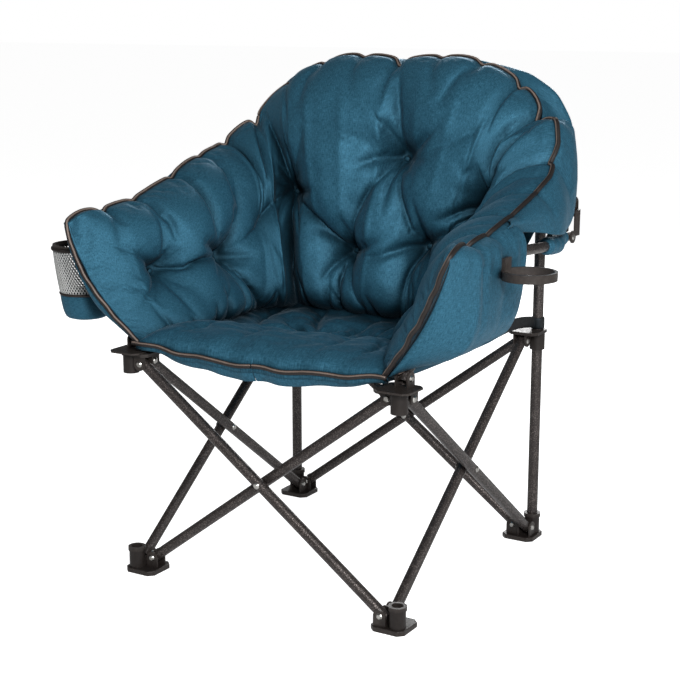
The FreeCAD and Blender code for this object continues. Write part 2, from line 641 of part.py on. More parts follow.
def rail_points():
    """An arm rail on the right: straight at its pivot, flared out, then straight to its tip."""
    climb = size("rail_climb") / (size("rail_pivot_y") + size("rail_tip"))

    def on_rail(x, y):
        return Vector(x, y, size("rail_pivot_height") + climb * (size("rail_pivot_y") - y))

    inner = size("rail_pivot_x")
    outer = place("rail_x")
    return [
        on_rail(inner, size("rail_pivot_y") + size("rail_overhang")),
        on_rail(inner, size("rail_pivot_y") - size("rail_straight")),
        on_rail(outer, size("rail_flare_end")),
        on_rail(outer, -size("rail_tip")),
    ]


def upright_points():
    """An arm upright on the right: leans back from its pivot, flares out, then rises to its tip."""
    x = place("post_place")
    y = -size("upright_pivot_y")
    z = place("upright_pivot_height")
    lean = 1 / math.sqrt(2)
    below = size("rail_overhang") * lean
    above = size("upright_foot") * lean
    return [
        Vector(x, y - below, z - below),
        Vector(x, y + above, z + above),
        Vector(place("upright_x"), y + place("upright_rise"), z + place("upright_rise")),
        Vector(place("upright_x"), y + place("upright_length"), z + place("upright_length")),
    ]


def make_arms():
    """Arms: a rail swinging on the bracket, an upright swinging on the front hub, a sleeve and a foot."""
    radius = size("rail_diameter") / 2
    across = Vector(1, 0, 0)
    rail = tube_along(rounded_path(rail_points(), size("rail_bend")), radius, radius - size("bar_wall"))
    rail_pivot = Vector(size("rail_pivot_x"), size("rail_pivot_y"), size("rail_pivot_height"))
    both_sides(shaped(rail.cut(drill(rail_pivot, across, place("pin_hole"), 4 * radius))), "arm_rail")
    path = rounded_path(upright_points(), size("upright_bend"))
    upright = tube_along(path, radius, radius - size("bar_wall"))
    pivot = Vector(place("post_place"), -size("upright_pivot_y"), place("upright_pivot_height"))
    both_sides(shaped(upright.cut(drill(pivot, across, place("pin_hole"), 4 * radius))), "arm_upright")
    points = rail_points()
    forward = (points[1] - points[0]).normalize()
    points[0] = points[0] + forward * (size("rail_overhang") + size("sleeve_start"))
    points[3] = points[2] + (points[3] - points[2]) * (
        (size("rail_flare_end") - size("sleeve_end")) / (size("rail_flare_end") + size("rail_tip")))
    sleeve_path = rounded_path(points, size("rail_bend"))
    sleeve = tube_along(sleeve_path, size("sleeve_diameter") / 2, radius + size("sleeve_gap"))
    both_sides(shaped(sleeve), "arm_sleeve")
    ears, hole = clevis("x", "places.post_place", "-sizes.upright_pivot_y", "places.upright_pivot_height",
                        "places.flange_top", "places.rail_side")
    wide = "sizes.arm_foot_tip + sizes.arm_foot_inner"
    plate = block(wide, wide, "sizes.arm_foot_thickness", "sizes.pin_half - sizes.arm_foot_inner",
                  "-sizes.pin_half - sizes.arm_foot_tip", "places.flange_top")
    rounded = edged(plate, "Chamfer", "foot_chamfer", is_upright)
    both_sides(drilled(fused(rounded, *ears), hole), "arm_foot")


def make_straps():
    """Corner straps: a webbing loop round each post above the hub, sewn to the seat's rear corner."""
    inner = size("post_diameter") / 2 + size("strap_gap")
    outer = inner + size("strap_thickness")
    post = Vector(place("post_place"), place("post_place"), place("flange_top") + size("strap_lift"))
    tall = size("strap_height")
    loop = Part.makeCylinder(outer, tall, post)
    corner_x = place("seat_half") - size("seat_waist")
    seat_corner = Vector(corner_x, size("seat_rear") + size("seam_gap"), post.z)
    run = seat_corner - post
    band = Part.makeBox(run.Length - inner, size("strap_thickness"), tall)
    band.translate(Vector(inner, -size("strap_thickness") / 2, 0))
    band.Placement = Placement(post, Rotation(Vector(1, 0, 0), run)).multiply(band.Placement)
    strap = loop.fuse(band).cut(Part.makeCylinder(inner, tall, post))
    both_sides(shaped(strap.removeSplitter()), "corner_strap")


def closed_wire(points, bulges):
    """A flat closed wire: points[i] to points[i + 1] is a line, or an arc through bulges[i]."""
    edges = []
    for number, (first, last) in enumerate(zip(points, points[1:] + points[:1])):
        through = bulges.get(number)
        curve = Part.Arc(first, through, last) if through else Part.LineSegment(first, last)
        edges.append(curve.toShape())
    return Part.Wire(edges)


def seat_section(y, share):
    """A slice of the right half of the seat pad; share is how much of the crown it has."""
    inner = size("seam_gap") / 2
    half = place("seat_half") - size("seat_waist") * share
    low = size("seat_base")
    edge = low + size("seat_edge")
    crown = edge + size("seat_crown") * share + 1
    points = [Vector(inner, y, low), Vector(half, y, low), Vector(half, y, edge), Vector(inner, y, crown)]
    rise = edge + (crown - edge) * 0.72
    return closed_wire(points, {2: Vector((half + inner) / 2, y, rise)})


def make_seat():
    """Seat pad: two halves that meet on the middle line, crowned and drawn in at the sides."""
    front = -size("seat_front")
    depth = size("seat_rear") - front
    shares = ((0, 0.2), (0.08, 0.6), (0.35, 1), (0.65, 1), (0.86, 0.4), (1, 0.05))
    slices = [seat_section(front + depth * along, share) for along, share in shares]
    both_sides(shaped(Part.makeLoft(slices, True, False)), "seat_pad")


def tuft_stations():
    """Tufts as (station along the bucket, height), from the middle of the back to the front of an arm.

    Stations run 0 to 1 along the back, 1 to 2 round the rear corner and 2 to 3 along the arm. Those of the
    other side of the chair are below 0.
    """
    right = (
        (0.5, size("tuft_back")),
        (1.25, size("tuft_corner")),
        (2.2, size("tuft_arm_rear")),
        (2.75, size("tuft_arm_front")),
    )
    left = tuple((-station, height) for station, height in right)
    return ((0.0, size("tuft_top")),) + right + left


def girth(station):
    """Length along the bucket, halfway up, from the middle of the back to a station."""
    corner = size("shell_corner")
    half = (place("shell_half") + place("rim_half")) / 2
    rear = (size("shell_rear") + size("rim_rear")) / 2
    front = (size("shell_front") + size("rim_front")) / 2
    legs = (half - corner, corner * math.pi / 2, rear - corner + front)
    run = sum(leg * min(max(abs(station) - number, 0), 1) for number, leg in enumerate(legs))
    return math.copysign(run, station)


def around(station, half, rear, front):
    """A point of a plan outline at a station, and the inward direction there."""
    corner = size("shell_corner")
    if station <= 1:
        return Vector(station * (half - corner), rear, 0), Vector(0, -1, 0)
    if station <= 2:
        angle = (station - 1) * math.pi / 2
        out = Vector(math.sin(angle), math.cos(angle), 0)
        return Vector(half - corner, rear - corner, 0) + out * corner, out * -1
    begin = rear - corner
    return Vector(half, begin - (station - 2) * (begin + front), 0), Vector(-1, 0, 0)


def rim_height(station):
    """Height of the rim: level over the back, falling round the corner to the arm."""
    fall_start = 0.5
    fall_end = 2.75
    share = min(max((station - fall_start) / (fall_end - fall_start), 0), 1)
    drop = size("back_height") - place("arm_height")
    return place("arm_height") + drop * (1 + math.cos(math.pi * share)) / 2


def padding(station, share):
    """Thickness of the bucket at a station and a share of its height: thin at its edges and at its tufts."""
    height = size("shell_base") + (rim_height(station) - size("shell_base")) * share
    swell = 1
    for place_along, level in tuft_stations():
        gap = math.hypot(girth(station) - girth(place_along), height - level)
        swell *= 1 - TUFT_PULL * math.exp(-((gap / size("tuft_reach")) ** 2))
    ahead = min((girth(ARM_FRONT) - girth(station)) / size("front_taper"), 1)
    off_middle = abs(2 * share - 1)
    core = size("pad_core") * (1 - off_middle ** CORE_POWER)
    puff = size("puff_depth") * swell * math.sqrt(1 - off_middle ** PUFF_POWER)
    return size("pad_edge") + (core + puff) * ahead


def shell_section(station):
    """A slice of the bucket: a flat outside, a rim, and a padded inside drawn in at the tufts."""
    foot, inward = around(station, place("shell_half"), size("shell_rear"), size("shell_front"))
    rim, inward = around(station, place("rim_half"), size("rim_rear"), size("rim_front"))
    foot.z = size("shell_base")
    rim.z = rim_height(station)
    inside = [foot + (rim - foot) * share + inward * padding(station, share) for share in SECTION_SHARES]
    curve = Part.BSplineCurve()
    curve.interpolate(inside)
    lines = [Part.LineSegment(first, last).toShape()
             for first, last in ((foot, rim), (rim, inside[0]), (inside[-1], foot))]
    return Part.Wire([lines[0], lines[1], curve.toShape(), lines[2]])


def middle_station():
    """The station half a seam gap from the middle line."""
    return size("seam_gap") / 2 / (place("shell_half") - size("shell_corner"))


def make_bucket():
    """Bucket: back pads that meet on the middle line, and arm pads that join them in the rear corners."""
    deepest = size("pad_edge") + size("pad_core") + size("puff_depth")
    turn = (size("shell_corner") - deepest) * math.pi / 2
    gap = size("seam_gap") / turn / 2
    back = [shell_section(at) for at in (middle_station(), *BACK_STATIONS, BUCKET_SEAM - gap)]
    arm = [shell_section(at) for at in (BUCKET_SEAM + gap, *ARM_STATIONS, ARM_FRONT)]
    both_sides(shaped(Part.makeLoft(back, True, False)), "back_pad")
    both_sides(shaped(Part.makeLoft(arm, True, False)), "arm_pad")


def thickened(line, thick):
    """The points of a flat line in an XZ plane, moved outward by a thickness, mitred at each bend."""
    ways = [(last - first).normalize() for first, last in zip(line, line[1:])]
    normals = [Vector(way.z, 0, -way.x) for way in ways]
    moved = []
    for point, before, after in zip(line, normals[:1] + normals, normals + normals[-1:]):
        middle = (before + after).normalize()
        moved.append(point + middle * (thick / middle.dot(after)))
    return moved


def make_panels():
    """Outer arm panels: a thin skin from the rim over the arm rail, bellied out and drawn in below."""
    front = -size("panel_front")
    ears = place("post_place") + place("rail_side") + size("ear_thickness")
    clear = size("rail_diameter") / 2 + size("panel_gap")
    low = Vector(ears + size("panel_room"), front, size("panel_base"))
    wide = Vector(place("panel_x"), front, low.z + size("panel_belly"))
    over = Vector(place("panel_x"), front, size("rail_pivot_height") + size("rail_climb") + clear)
    top = Vector(place("rim_half") + size("panel_gap"), front, place("arm_height") + size("panel_gap"))
    run = wide - low
    belly = [low + Vector(run.x * out, 0, run.z * up) for out, up in BELLY_SHARES]
    line = [low, *belly, wide, over, top]
    outline = line + list(reversed(thickened(line, size("panel_thickness"))))
    face = Part.Face(Part.makePolygon(outline + outline[:1]))
    panel = face.extrude(Vector(0, size("panel_front") - size("panel_rear"), 0))
    both_sides(shaped(panel), "arm_panel")


def ring(radius, wall, low, tall, x, y):
    """A plain upright ring."""
    at = Vector(x, y, low)
    return Part.makeCylinder(radius, tall, at).cut(Part.makeCylinder(radius - wall, tall, at))


def make_holders():
    """Cup holders: a mesh bag with a stiff rim on the left panel, a moulded ring on the right one."""
    radius = size("holder_diameter") / 2
    x = -place("holder_x")
    y = -size("holder_place")
    rim_low = place("holder_top") - size("holder_rim")
    mesh_low = rim_low - size("holder_mesh")
    base_low = mesh_low - size("holder_base")
    node(shaped(ring(radius, size("holder_rim_width"), rim_low, size("holder_rim"), x, y)), "cup_rim")
    node(shaped(ring(radius, size("holder_wall"), mesh_low, size("holder_mesh"), x, y)), "cup_mesh")
    base = ring(radius, size("holder_wall"), base_low, size("holder_base"), x, y)
    floor = Part.makeCylinder(radius, size("holder_wall"), Vector(x, y, base_low))
    node(shaped(base.fuse(floor).removeSplitter()), "cup_base")
    ring_x = place("ring_x")
    ring_y = -size("ring_place")
    ring_low = place("ring_top") - size("ring_height")
    hoop = ring(size("ring_diameter") / 2, size("ring_wall"), ring_low, size("ring_height"), ring_x, ring_y)
    inner = size("ring_diameter") / 2 - size("ring_wall")
    corner = Vector(place("ring_face"), ring_y - size("ring_block_length") / 2, ring_low)
    holder = Part.makeBox(ring_x - corner.x, size("ring_block_length"), size("ring_block_height"), corner)
    tall = size("ring_block_height")
    room = Part.makeCylinder(inner, tall, Vector(ring_x, ring_y, ring_low))
    node(shaped(hoop.fuse(holder.cut(room)).removeSplitter()), "cup_ring")


def check_and_write():
    """Stop on any failed object or bad shape, then write one STEP file for each sub-part."""
    doc.recompute()
    for thing in doc.Objects:
        if {"Invalid", "Error"} & set(thing.State):
            raise RuntimeError(f"{thing.Name} failed: {thing.State}")
    for thing in nodes:
        shape = thing.Shape
        if shape.isNull() or not shape.isValid() or not shape.Solids:
            raise RuntimeError(f"{thing.Label} has no valid solid")
    os.makedirs("parts", exist_ok=True)
    for thing in nodes:
        thing.Shape.exportStep(f"parts/{thing.Label}.step")
        volume = sum(solid.Volume for solid in thing.Shape.Solids) / 1000
        print(f"{thing.Label}: {len(thing.Shape.Solids)} solids, {volume:.1f} cm3")


fill_sheets()
make_feet()
make_hubs()
make_bars()
make_posts()
make_brackets()
make_corner_rivets()
make_bow()
make_back_skins()
make_arms()
make_straps()
make_seat()
make_bucket()
make_panels()
make_holders()
check_and_write()
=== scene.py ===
"""Padded folding camp chair: tufted bucket, piping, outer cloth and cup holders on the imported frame."""
import logging
import math
from dataclasses import dataclass, field
from enum import Enum

import bmesh
import bpy
import numpy as np
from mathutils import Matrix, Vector, noise


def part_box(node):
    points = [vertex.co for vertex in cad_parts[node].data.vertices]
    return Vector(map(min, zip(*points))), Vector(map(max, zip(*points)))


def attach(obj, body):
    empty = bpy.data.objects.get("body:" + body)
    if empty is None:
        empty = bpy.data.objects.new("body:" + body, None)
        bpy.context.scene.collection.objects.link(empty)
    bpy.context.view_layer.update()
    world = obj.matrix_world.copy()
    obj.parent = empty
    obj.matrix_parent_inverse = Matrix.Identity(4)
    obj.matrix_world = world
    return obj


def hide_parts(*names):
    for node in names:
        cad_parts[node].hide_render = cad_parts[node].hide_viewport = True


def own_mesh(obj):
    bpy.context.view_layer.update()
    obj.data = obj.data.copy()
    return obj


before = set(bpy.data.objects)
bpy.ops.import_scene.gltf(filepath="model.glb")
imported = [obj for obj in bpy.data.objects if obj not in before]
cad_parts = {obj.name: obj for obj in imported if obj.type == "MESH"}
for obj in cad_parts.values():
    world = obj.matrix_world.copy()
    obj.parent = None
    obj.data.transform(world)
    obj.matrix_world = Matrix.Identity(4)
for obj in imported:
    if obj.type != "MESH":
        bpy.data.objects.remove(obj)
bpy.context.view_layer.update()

LOG = logging.getLogger("camp_chair")

# Stations run round the bucket from 0 at the middle of the back to this at the arms' fronts.
FRONT = 3.0
# Stands for zero on one side of the middle, and keeps a division safe.
TINY = 1e-9


class Side(Enum):
    """The two sides of the chair, as seen from the front."""

    LEFT = -1
    RIGHT = 1

    @property
    def word(self) -> str:
        """The side's name in the frame's node and body names."""
        return self.name.lower()


def smooth(low: float, high: float, value: np.ndarray) -> np.ndarray:
    """A smooth step from 0 at low to 1 at high.

    Args:
        low: Where the step begins.
        high: Where it ends; it may be below low.
        value: The numbers to step.

    Returns:
        The stepped numbers.
    """
    share = np.clip((value - low) / (high - low), 0.0, 1.0)
    return share * share * (3.0 - 2.0 * share)


def wobble(points: np.ndarray, scale: float, seed: float) -> np.ndarray:
    """Smooth fixed noise in space.

    Args:
        points: An array of points, in metres.
        scale: Waves per metre.
        seed: Shifts the pattern.

    Returns:
        One number from about -1 to 1 for each point.
    """
    flat = points.reshape(-1, 3) * scale + seed
    values = [noise.noise(Vector(point)) for point in flat]
    return np.array(values).reshape(points.shape[:-1])


def ripples(points: np.ndarray, waves: tuple) -> np.ndarray:
    """Fixed noise of several sizes, added up.

    Args:
        points: An array of points, in metres.
        waves: Waves per metre, seed and height of each size.

    Returns:
        One height for each point, in metres.
    """
    return sum(wobble(points, scale, seed) * height for scale, seed, height in waves)


def relax(line: np.ndarray, rounds: int) -> np.ndarray:
    """Smooth a line of points between its ends, in place.

    Args:
        line: The points.
        rounds: How often.

    Returns:
        The same line.
    """
    for _ in range(rounds):
        line[1:-1] = (line[:-2] + 2 * line[1:-1] + line[2:]) / 4
    return line


def fold_gap(first: np.ndarray, second: np.ndarray, ends: tuple, bow: float) -> tuple:
    """Distance of points from a fold that bows a little to one side.

    Args:
        first: First coordinate of each point, in metres.
        second: Second coordinate of each point, in metres.
        ends: Both coordinates of the fold's begin, then of its end.
        bow: How far the fold bows, as a share of its length.

    Returns:
        The distances, in metres, and the shares of the way along the fold.
    """
    a0, b0, a1, b1 = ends
    run = np.array([a1 - a0, b1 - b0])
    share = np.clip(((first - a0) * run[0] + (second - b0) * run[1]) / (run @ run), 0.0, 1.0)
    aside = bow * np.sin(share * math.pi)
    gap = np.hypot(first - a0 - run[0] * share - aside * run[1],
                   second - b0 - run[1] * share + aside * run[0])
    return gap, share


def place_object(name: str, data: bpy.types.ID) -> bpy.types.Object:
    """Make an object from its data and link it to the scene.

    Args:
        name: The object's name.
        data: A mesh, light or camera.

    Returns:
        The object.
    """
    thing = bpy.data.objects.new(name, data)
    bpy.context.scene.collection.objects.link(thing)
    return thing


def face_normals(points: np.ndarray) -> np.ndarray:
    """Normals of a grid of points, the same at a seam for both pieces that meet there.

    Args:
        points: Columns by rows by 3.

    Returns:
        Unit normals, the same shape.
    """
    across = np.gradient(points, axis=0)
    up = np.gradient(points, axis=1)
    found = np.cross(across, up)
    return found / np.maximum(np.linalg.norm(found, axis=-1, keepdims=True), 1e-12)


def fold_back(piece: bpy.types.Object) -> None:
    """Give a piece of the back its own copy of its mesh.

    Args:
        piece: The piece.
    """
    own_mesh(piece)


@dataclass(frozen=True)
class NodeKit:
    """Short ways to make and join shader nodes in one tree."""

    tree: bpy.types.NodeTree

    def add(self, kind: str, **values: object) -> bpy.types.Node:
        """Add a node and set its properties and input defaults.

        Args:
            kind: The node's type name.
            values: Property names, or input names with spaces as underscores.

        Returns:
            The node.
        """
        made = self.tree.nodes.new(kind)
        for name, value in values.items():
            if hasattr(made, name):
                setattr(made, name, value)
            else:
                made.inputs[name.replace("_", " ")].default_value = value
        return made

    def join(self, start: bpy.types.NodeSocket, end: bpy.types.NodeSocket) -> None:
        """Link an output to an input."""
        self.tree.links.new(start, end)

    def math(self, operation: str, first: object, second: object = 0.0) -> bpy.types.NodeSocket:
        """A math node on sockets or numbers.

        Args:
            operation: Blender's name of the operation.
            first: A socket or number.
            second: A socket or number.

        Returns:
            The node's output.
        """
        made = self.add("ShaderNodeMath", operation=operation)
        for number, value in enumerate((first, second)):
            if isinstance(value, bpy.types.NodeSocket):
                self.join(value, made.inputs[number])
            else:
                made.inputs[number].default_value = value
        return made.outputs[0]

    def ramp(self, value: bpy.types.NodeSocket, stops: tuple) -> bpy.types.NodeSocket:
        """A colour ramp.

        Args:
            value: What drives it.
            stops: Pairs of place and colour.

        Returns:
            The colour output.
        """
        made = self.add("ShaderNodeValToRGB")
        bar = made.color_ramp
        while len(bar.elements) < len(stops):
            bar.elements.new(0.5)
        for element, (place, colour) in zip(bar.elements, stops):
            element.position = place
            element.color = (*colour, 1.0)
        self.join(value, made.inputs[0])
        return made.outputs[0]


class Effects:
    """Shader node groups that several finishes share."""

    def __init__(self) -> None:
        """Build each group once."""
        self.heather = self._heather()
        self.speckle = self._speckle()
        self.rub = self._rub()
        self.painted_shade = self._painted_shade()

    @staticmethod
    def _start(name: str, inputs: tuple, outputs: tuple) -> tuple:
        """Start a group with named sockets.

        Args:
            name: The group's name.
            inputs: Pairs of socket name and default number.
            outputs: Socket names.

        Returns:
            The tree, its node kit, the input node and the output node.
        """
        tree = bpy.data.node_groups.new(name, "ShaderNodeTree")
        for label, value in inputs:
            made = tree.interface.new_socket(name=label, in_out="INPUT", socket_type="NodeSocketFloat")
            made.default_value = value
        for label in outputs:
            tree.interface.new_socket(name=label, in_out="OUTPUT", socket_type="NodeSocketFloat")
        kit = NodeKit(tree)
        return tree, kit, kit.add("NodeGroupInput"), kit.add("NodeGroupOutput")

    def _heather(self) -> bpy.types.NodeTree:
        """Heathered plain weave: slub streaks along the warp and fine crossing threads.

        Returns:
            The group.
        """
        tree, kit, entry, leave = self._start(
            "heather_weave", (("Threads", 900.0), ("Slub", 210.0)), ("Shade", "Height"))
        uv = kit.add("ShaderNodeUVMap", uv_map="cloth")
        split = kit.add("ShaderNodeSeparateXYZ")
        kit.join(uv.outputs[0], split.inputs[0])
        streaks = []
        # Shares of the slub scale along and across the warp, and the weight, of each set of streaks.
        for along, across, weight in ((0.14, 1.0, 0.56), (1.0, 0.16, 0.40)):
            place = kit.add("ShaderNodeCombineXYZ")
            for number, share in enumerate((across, along)):
                scaled = kit.math("MULTIPLY", split.outputs[number], entry.outputs["Slub"])
                kit.join(kit.math("MULTIPLY", scaled, share), place.inputs[number])
            cloud = kit.add("ShaderNodeTexNoise", Scale=1.0, Detail=3.0, Roughness=0.7)
            kit.join(place.outputs[0], cloud.inputs["Vector"])
            streaks.append(kit.math("MULTIPLY", cloud.outputs[0], weight))
        kit.join(kit.math("ADD", streaks[0], streaks[1]), leave.inputs["Shade"])
        waves = []
        for number in (0, 1):
            turn = kit.math("MULTIPLY", split.outputs[number], entry.outputs["Threads"])
            waves.append(kit.math("SINE", kit.math("MULTIPLY", turn, math.tau)))
        crossing = kit.math("MULTIPLY", waves[0], waves[1])
        kit.join(kit.math("ADD", kit.math("MULTIPLY", crossing, 0.5), streaks[0]), leave.inputs["Height"])
        return tree

    def _speckle(self) -> bpy.types.NodeTree:
        """Hammer paint and moulded grain: cells with a soft edge, and a slow cloud.

        Returns:
            The group.
        """
        tree, kit, entry, leave = self._start("hammer_speckle", (("Scale", 600.0),), ("Cells", "Cloud"))
        place = kit.add("ShaderNodeTexCoord")
        cells = kit.add("ShaderNodeTexVoronoi", Randomness=1.0)
        kit.join(place.outputs["Object"], cells.inputs["Vector"])
        kit.join(entry.outputs["Scale"], cells.inputs["Scale"])
        cloud = kit.add("ShaderNodeTexNoise", Detail=4.0)
        kit.join(place.outputs["Object"], cloud.inputs["Vector"])
        kit.join(kit.math("MULTIPLY", entry.outputs["Scale"], 0.12), cloud.inputs["Scale"])
        kit.join(cells.outputs["Distance"], leave.inputs["Cells"])
        kit.join(cloud.outputs[0], leave.inputs["Cloud"])
        return tree

    def _rub(self) -> bpy.types.NodeTree:
        """Rubbed edges: a mask that is high on sharp outer edges, broken up by noise.

        Returns:
            The group.
        """
        tree, kit, entry, leave = self._start("rubbed_edge", (("Reach", 0.53),), ("Mask",))
        shape = kit.add("ShaderNodeNewGeometry")
        place = kit.add("ShaderNodeTexCoord")
        cloud = kit.add("ShaderNodeTexNoise", Scale=180.0, Detail=5.0)
        kit.join(place.outputs["Object"], cloud.inputs["Vector"])
        edge = kit.math("SUBTRACT", shape.outputs["Pointiness"], entry.outputs["Reach"])
        sharp = kit.math("MULTIPLY", edge, 9.0)
        rough = kit.math("MULTIPLY", kit.math("MAXIMUM", sharp, 0.0), cloud.outputs[0])
        kit.join(kit.math("MINIMUM", rough, 1.0), leave.inputs["Mask"])
        return tree

    def _painted_shade(self) -> bpy.types.NodeTree:
        """Painted shade in folds and hollows: a mask that is high where nearby cloth shades a point; the
        cloth's colour is darkened there.

        Returns:
            The group.
        """
        tree, kit, entry, leave = self._start("fold_painted_shade", (("Reach", 0.12), ("Depth", 1.0)), ("Mask",))
        shade = kit.add("ShaderNodeAmbientOcclusion", samples=8)
        kit.join(entry.outputs["Reach"], shade.inputs["Distance"])
        closed = kit.math("SUBTRACT", 1.0, shade.outputs["AO"])
        kit.join(kit.math("MULTIPLY", closed, entry.outputs["Depth"]), leave.inputs["Mask"])
        return tree


@dataclass(frozen=True)
class Finish:
    """A finish that can be put on a piece; each kind builds its own material."""

    name: str
    slot: str

    def start(self) -> tuple:
        """Start the material.

        Returns:
            The material, its node kit and its Principled shader.
        """
        made = bpy.data.materials.new(self.name)
        made.use_nodes = True
        kit = NodeKit(made.node_tree)
        return made, kit, made.node_tree.nodes["Principled BSDF"]

    @staticmethod
    def relief(kit: NodeKit, shader: bpy.types.Node, height: bpy.types.NodeSocket, depth: float) -> None:
        """Bump from a height.

        Args:
            kit: The material's node kit.
            shader: Its Principled shader.
            height: The height output.
            depth: Depth of the relief, in metres.
        """
        bump = kit.add("ShaderNodeBump", Strength=1.0, Distance=depth)
        kit.join(height, bump.inputs["Height"])
        kit.join(bump.outputs[0], shader.inputs["Normal"])

    @staticmethod
    def group(kit: NodeKit, tree: bpy.types.NodeTree, **values: float) -> bpy.types.Node:
        """Place a shared effect with its own values.

        Args:
            kit: The material's node kit.
            tree: The shared group.
            values: Input names and numbers.

        Returns:
            The group node.
        """
        made = kit.add("ShaderNodeGroup", node_tree=tree)
        for label, value in values.items():
            made.inputs[label].default_value = value
        return made


@dataclass(frozen=True)
class ClothFinish(Finish):
    """Woven cloth with a satin sheen, and painted shade darkening its folds."""

    dark: tuple = (0.012, 0.064, 0.104)
    light: tuple = (0.050, 0.176, 0.268)
    stops: tuple = (0.36, 0.48, 0.60)
    roughness: float = 0.57
    streak_gloss: float = -0.2
    satin: float = 0.38
    specular: float = 0.3
    tint: tuple = (0.50, 0.80, 1.0)
    # Strength of the painted shade in folds, and its colour as a share of the dark tone.
    painted_shade: float = 1.35
    painted_shade_share: float = 0.12
    sheen: float = 0.08
    sheen_roughness: float = 0.35
    sheen_tint: tuple = (0.55, 0.8, 1.0)
    threads: float = 850.0
    slub: float = 720.0
    depth: float = 0.00010

    def build(self, effects: Effects) -> bpy.types.Material:
        """Build the material from the shared weave, darkened by painted shade in its folds and hollows.

        Args:
            effects: The shared node groups.

        Returns:
            The material.
        """
        made, kit, shader = self.start()
        weave = self.group(kit, effects.heather, Threads=self.threads, Slub=self.slub)
        middle = tuple((a + b) / 2 for a, b in zip(self.dark, self.light))
        stops = tuple(zip(self.stops, (self.dark, middle, self.light)))
        # Painted shade: where nearby cloth shades a point, the colour is pulled towards a darker share of
        # the dark tone.
        painted_shade = self.group(kit, effects.painted_shade, Depth=self.painted_shade)
        painted_shade_mix = kit.add("ShaderNodeMix", data_type="RGBA")
        kit.join(painted_shade.outputs["Mask"], painted_shade_mix.inputs[0])
        kit.join(kit.ramp(weave.outputs["Shade"], stops), painted_shade_mix.inputs[6])
        painted_shade_mix.inputs[7].default_value = (*(part * self.painted_shade_share for part in self.dark), 1.0)
        kit.join(painted_shade_mix.outputs[2], shader.inputs["Base Color"])
        rough = kit.math("MULTIPLY", weave.outputs["Shade"], self.streak_gloss)
        kit.join(kit.math("ADD", rough, self.roughness), shader.inputs["Roughness"])
        shader.inputs["Metallic"].default_value = self.satin
        shader.inputs["Specular IOR Level"].default_value = self.specular
        shader.inputs["Specular Tint"].default_value = (*self.tint, 1.0)
        shader.inputs["Sheen Weight"].default_value = self.sheen
        shader.inputs["Sheen Roughness"].default_value = self.sheen_roughness
        shader.inputs["Sheen Tint"].default_value = (*self.sheen_tint, 1.0)
        self.relief(kit, shader, weave.outputs["Height"], self.depth)
        return made


@dataclass(frozen=True)
class PipingFinish(Finish):
    """Folded binding tape: dark edges with a paler band along the cord, a painted highlight on the side that
    its up direction faces.
    """

    dark: tuple = (0.012, 0.008, 0.007)
    pale: tuple = (0.180, 0.135, 0.112)
    highlight_end: float = 0.095
    dark_start: float = 0.125
    highlight_jitter: float = 0.12
    roughness: float = 0.55
    threads: float = 500.0
    slub: float = 700.0
    depth: float = 0.0001

    def build(self, effects: Effects) -> bpy.types.Material:
        """Build the material; the painted highlight band follows the cord's own UV.

        Args:
            effects: The shared node groups.

        Returns:
            The material.
        """
        made, kit, shader = self.start()
        weave = self.group(kit, effects.heather, Threads=self.threads, Slub=self.slub)
        uv = kit.add("ShaderNodeUVMap", uv_map="band")
        split = kit.add("ShaderNodeSeparateXYZ")
        kit.join(uv.outputs[0], split.inputs[0])
        # Painted highlight: a pale band round the middle of the band UV, its edge broken up by the weave.
        edge = kit.math("ABSOLUTE", kit.math("SUBTRACT", split.outputs[1], 0.5))
        wear_and_highlight = kit.math("ADD", edge, kit.math("MULTIPLY", weave.outputs["Shade"], self.highlight_jitter))
        stops = ((self.highlight_end, self.pale), (self.dark_start, self.dark), (0.5, self.dark))
        kit.join(kit.ramp(wear_and_highlight, stops), shader.inputs["Base Color"])
        shader.inputs["Roughness"].default_value = self.roughness
        self.relief(kit, shader, weave.outputs["Height"], self.depth)
        return made


@dataclass(frozen=True)
class PaintFinish(Finish):
    """Dark bronze hammer paint on steel tube."""

    dark: tuple = (0.040, 0.033, 0.031)
    light: tuple = (0.200, 0.170, 0.158)
    stops: tuple = (0.2, 0.55)
    scale: float = 420.0
    cells: float = 0.8
    cloud: float = 0.35
    metallic: float = 0.55
    roughness: float = 0.28
    cell_roughness: float = 0.25
    coat: float = 0.25
    depth: float = -0.0003

    def build(self, effects: Effects) -> bpy.types.Material:
        """Build the material from the shared speckle.

        Args:
            effects: The shared node groups.

        Returns:
            The material.
        """
        made, kit, shader = self.start()
        speckle = self.group(kit, effects.speckle, Scale=self.scale)
        mixed = kit.math("ADD", kit.math("MULTIPLY", speckle.outputs["Cells"], self.cells),
                         kit.math("MULTIPLY", speckle.outputs["Cloud"], self.cloud))
        stops = tuple(zip(self.stops, (self.light, self.dark)))
        kit.join(kit.ramp(mixed, stops), shader.inputs["Base Color"])
        shader.inputs["Metallic"].default_value = self.metallic
        rough = kit.math("MULTIPLY", speckle.outputs["Cells"], self.cell_roughness)
        kit.join(kit.math("ADD", rough, self.roughness), shader.inputs["Roughness"])
        shader.inputs["Coat Weight"].default_value = self.coat
        self.relief(kit, shader, speckle.outputs["Cells"], self.depth)
        return made


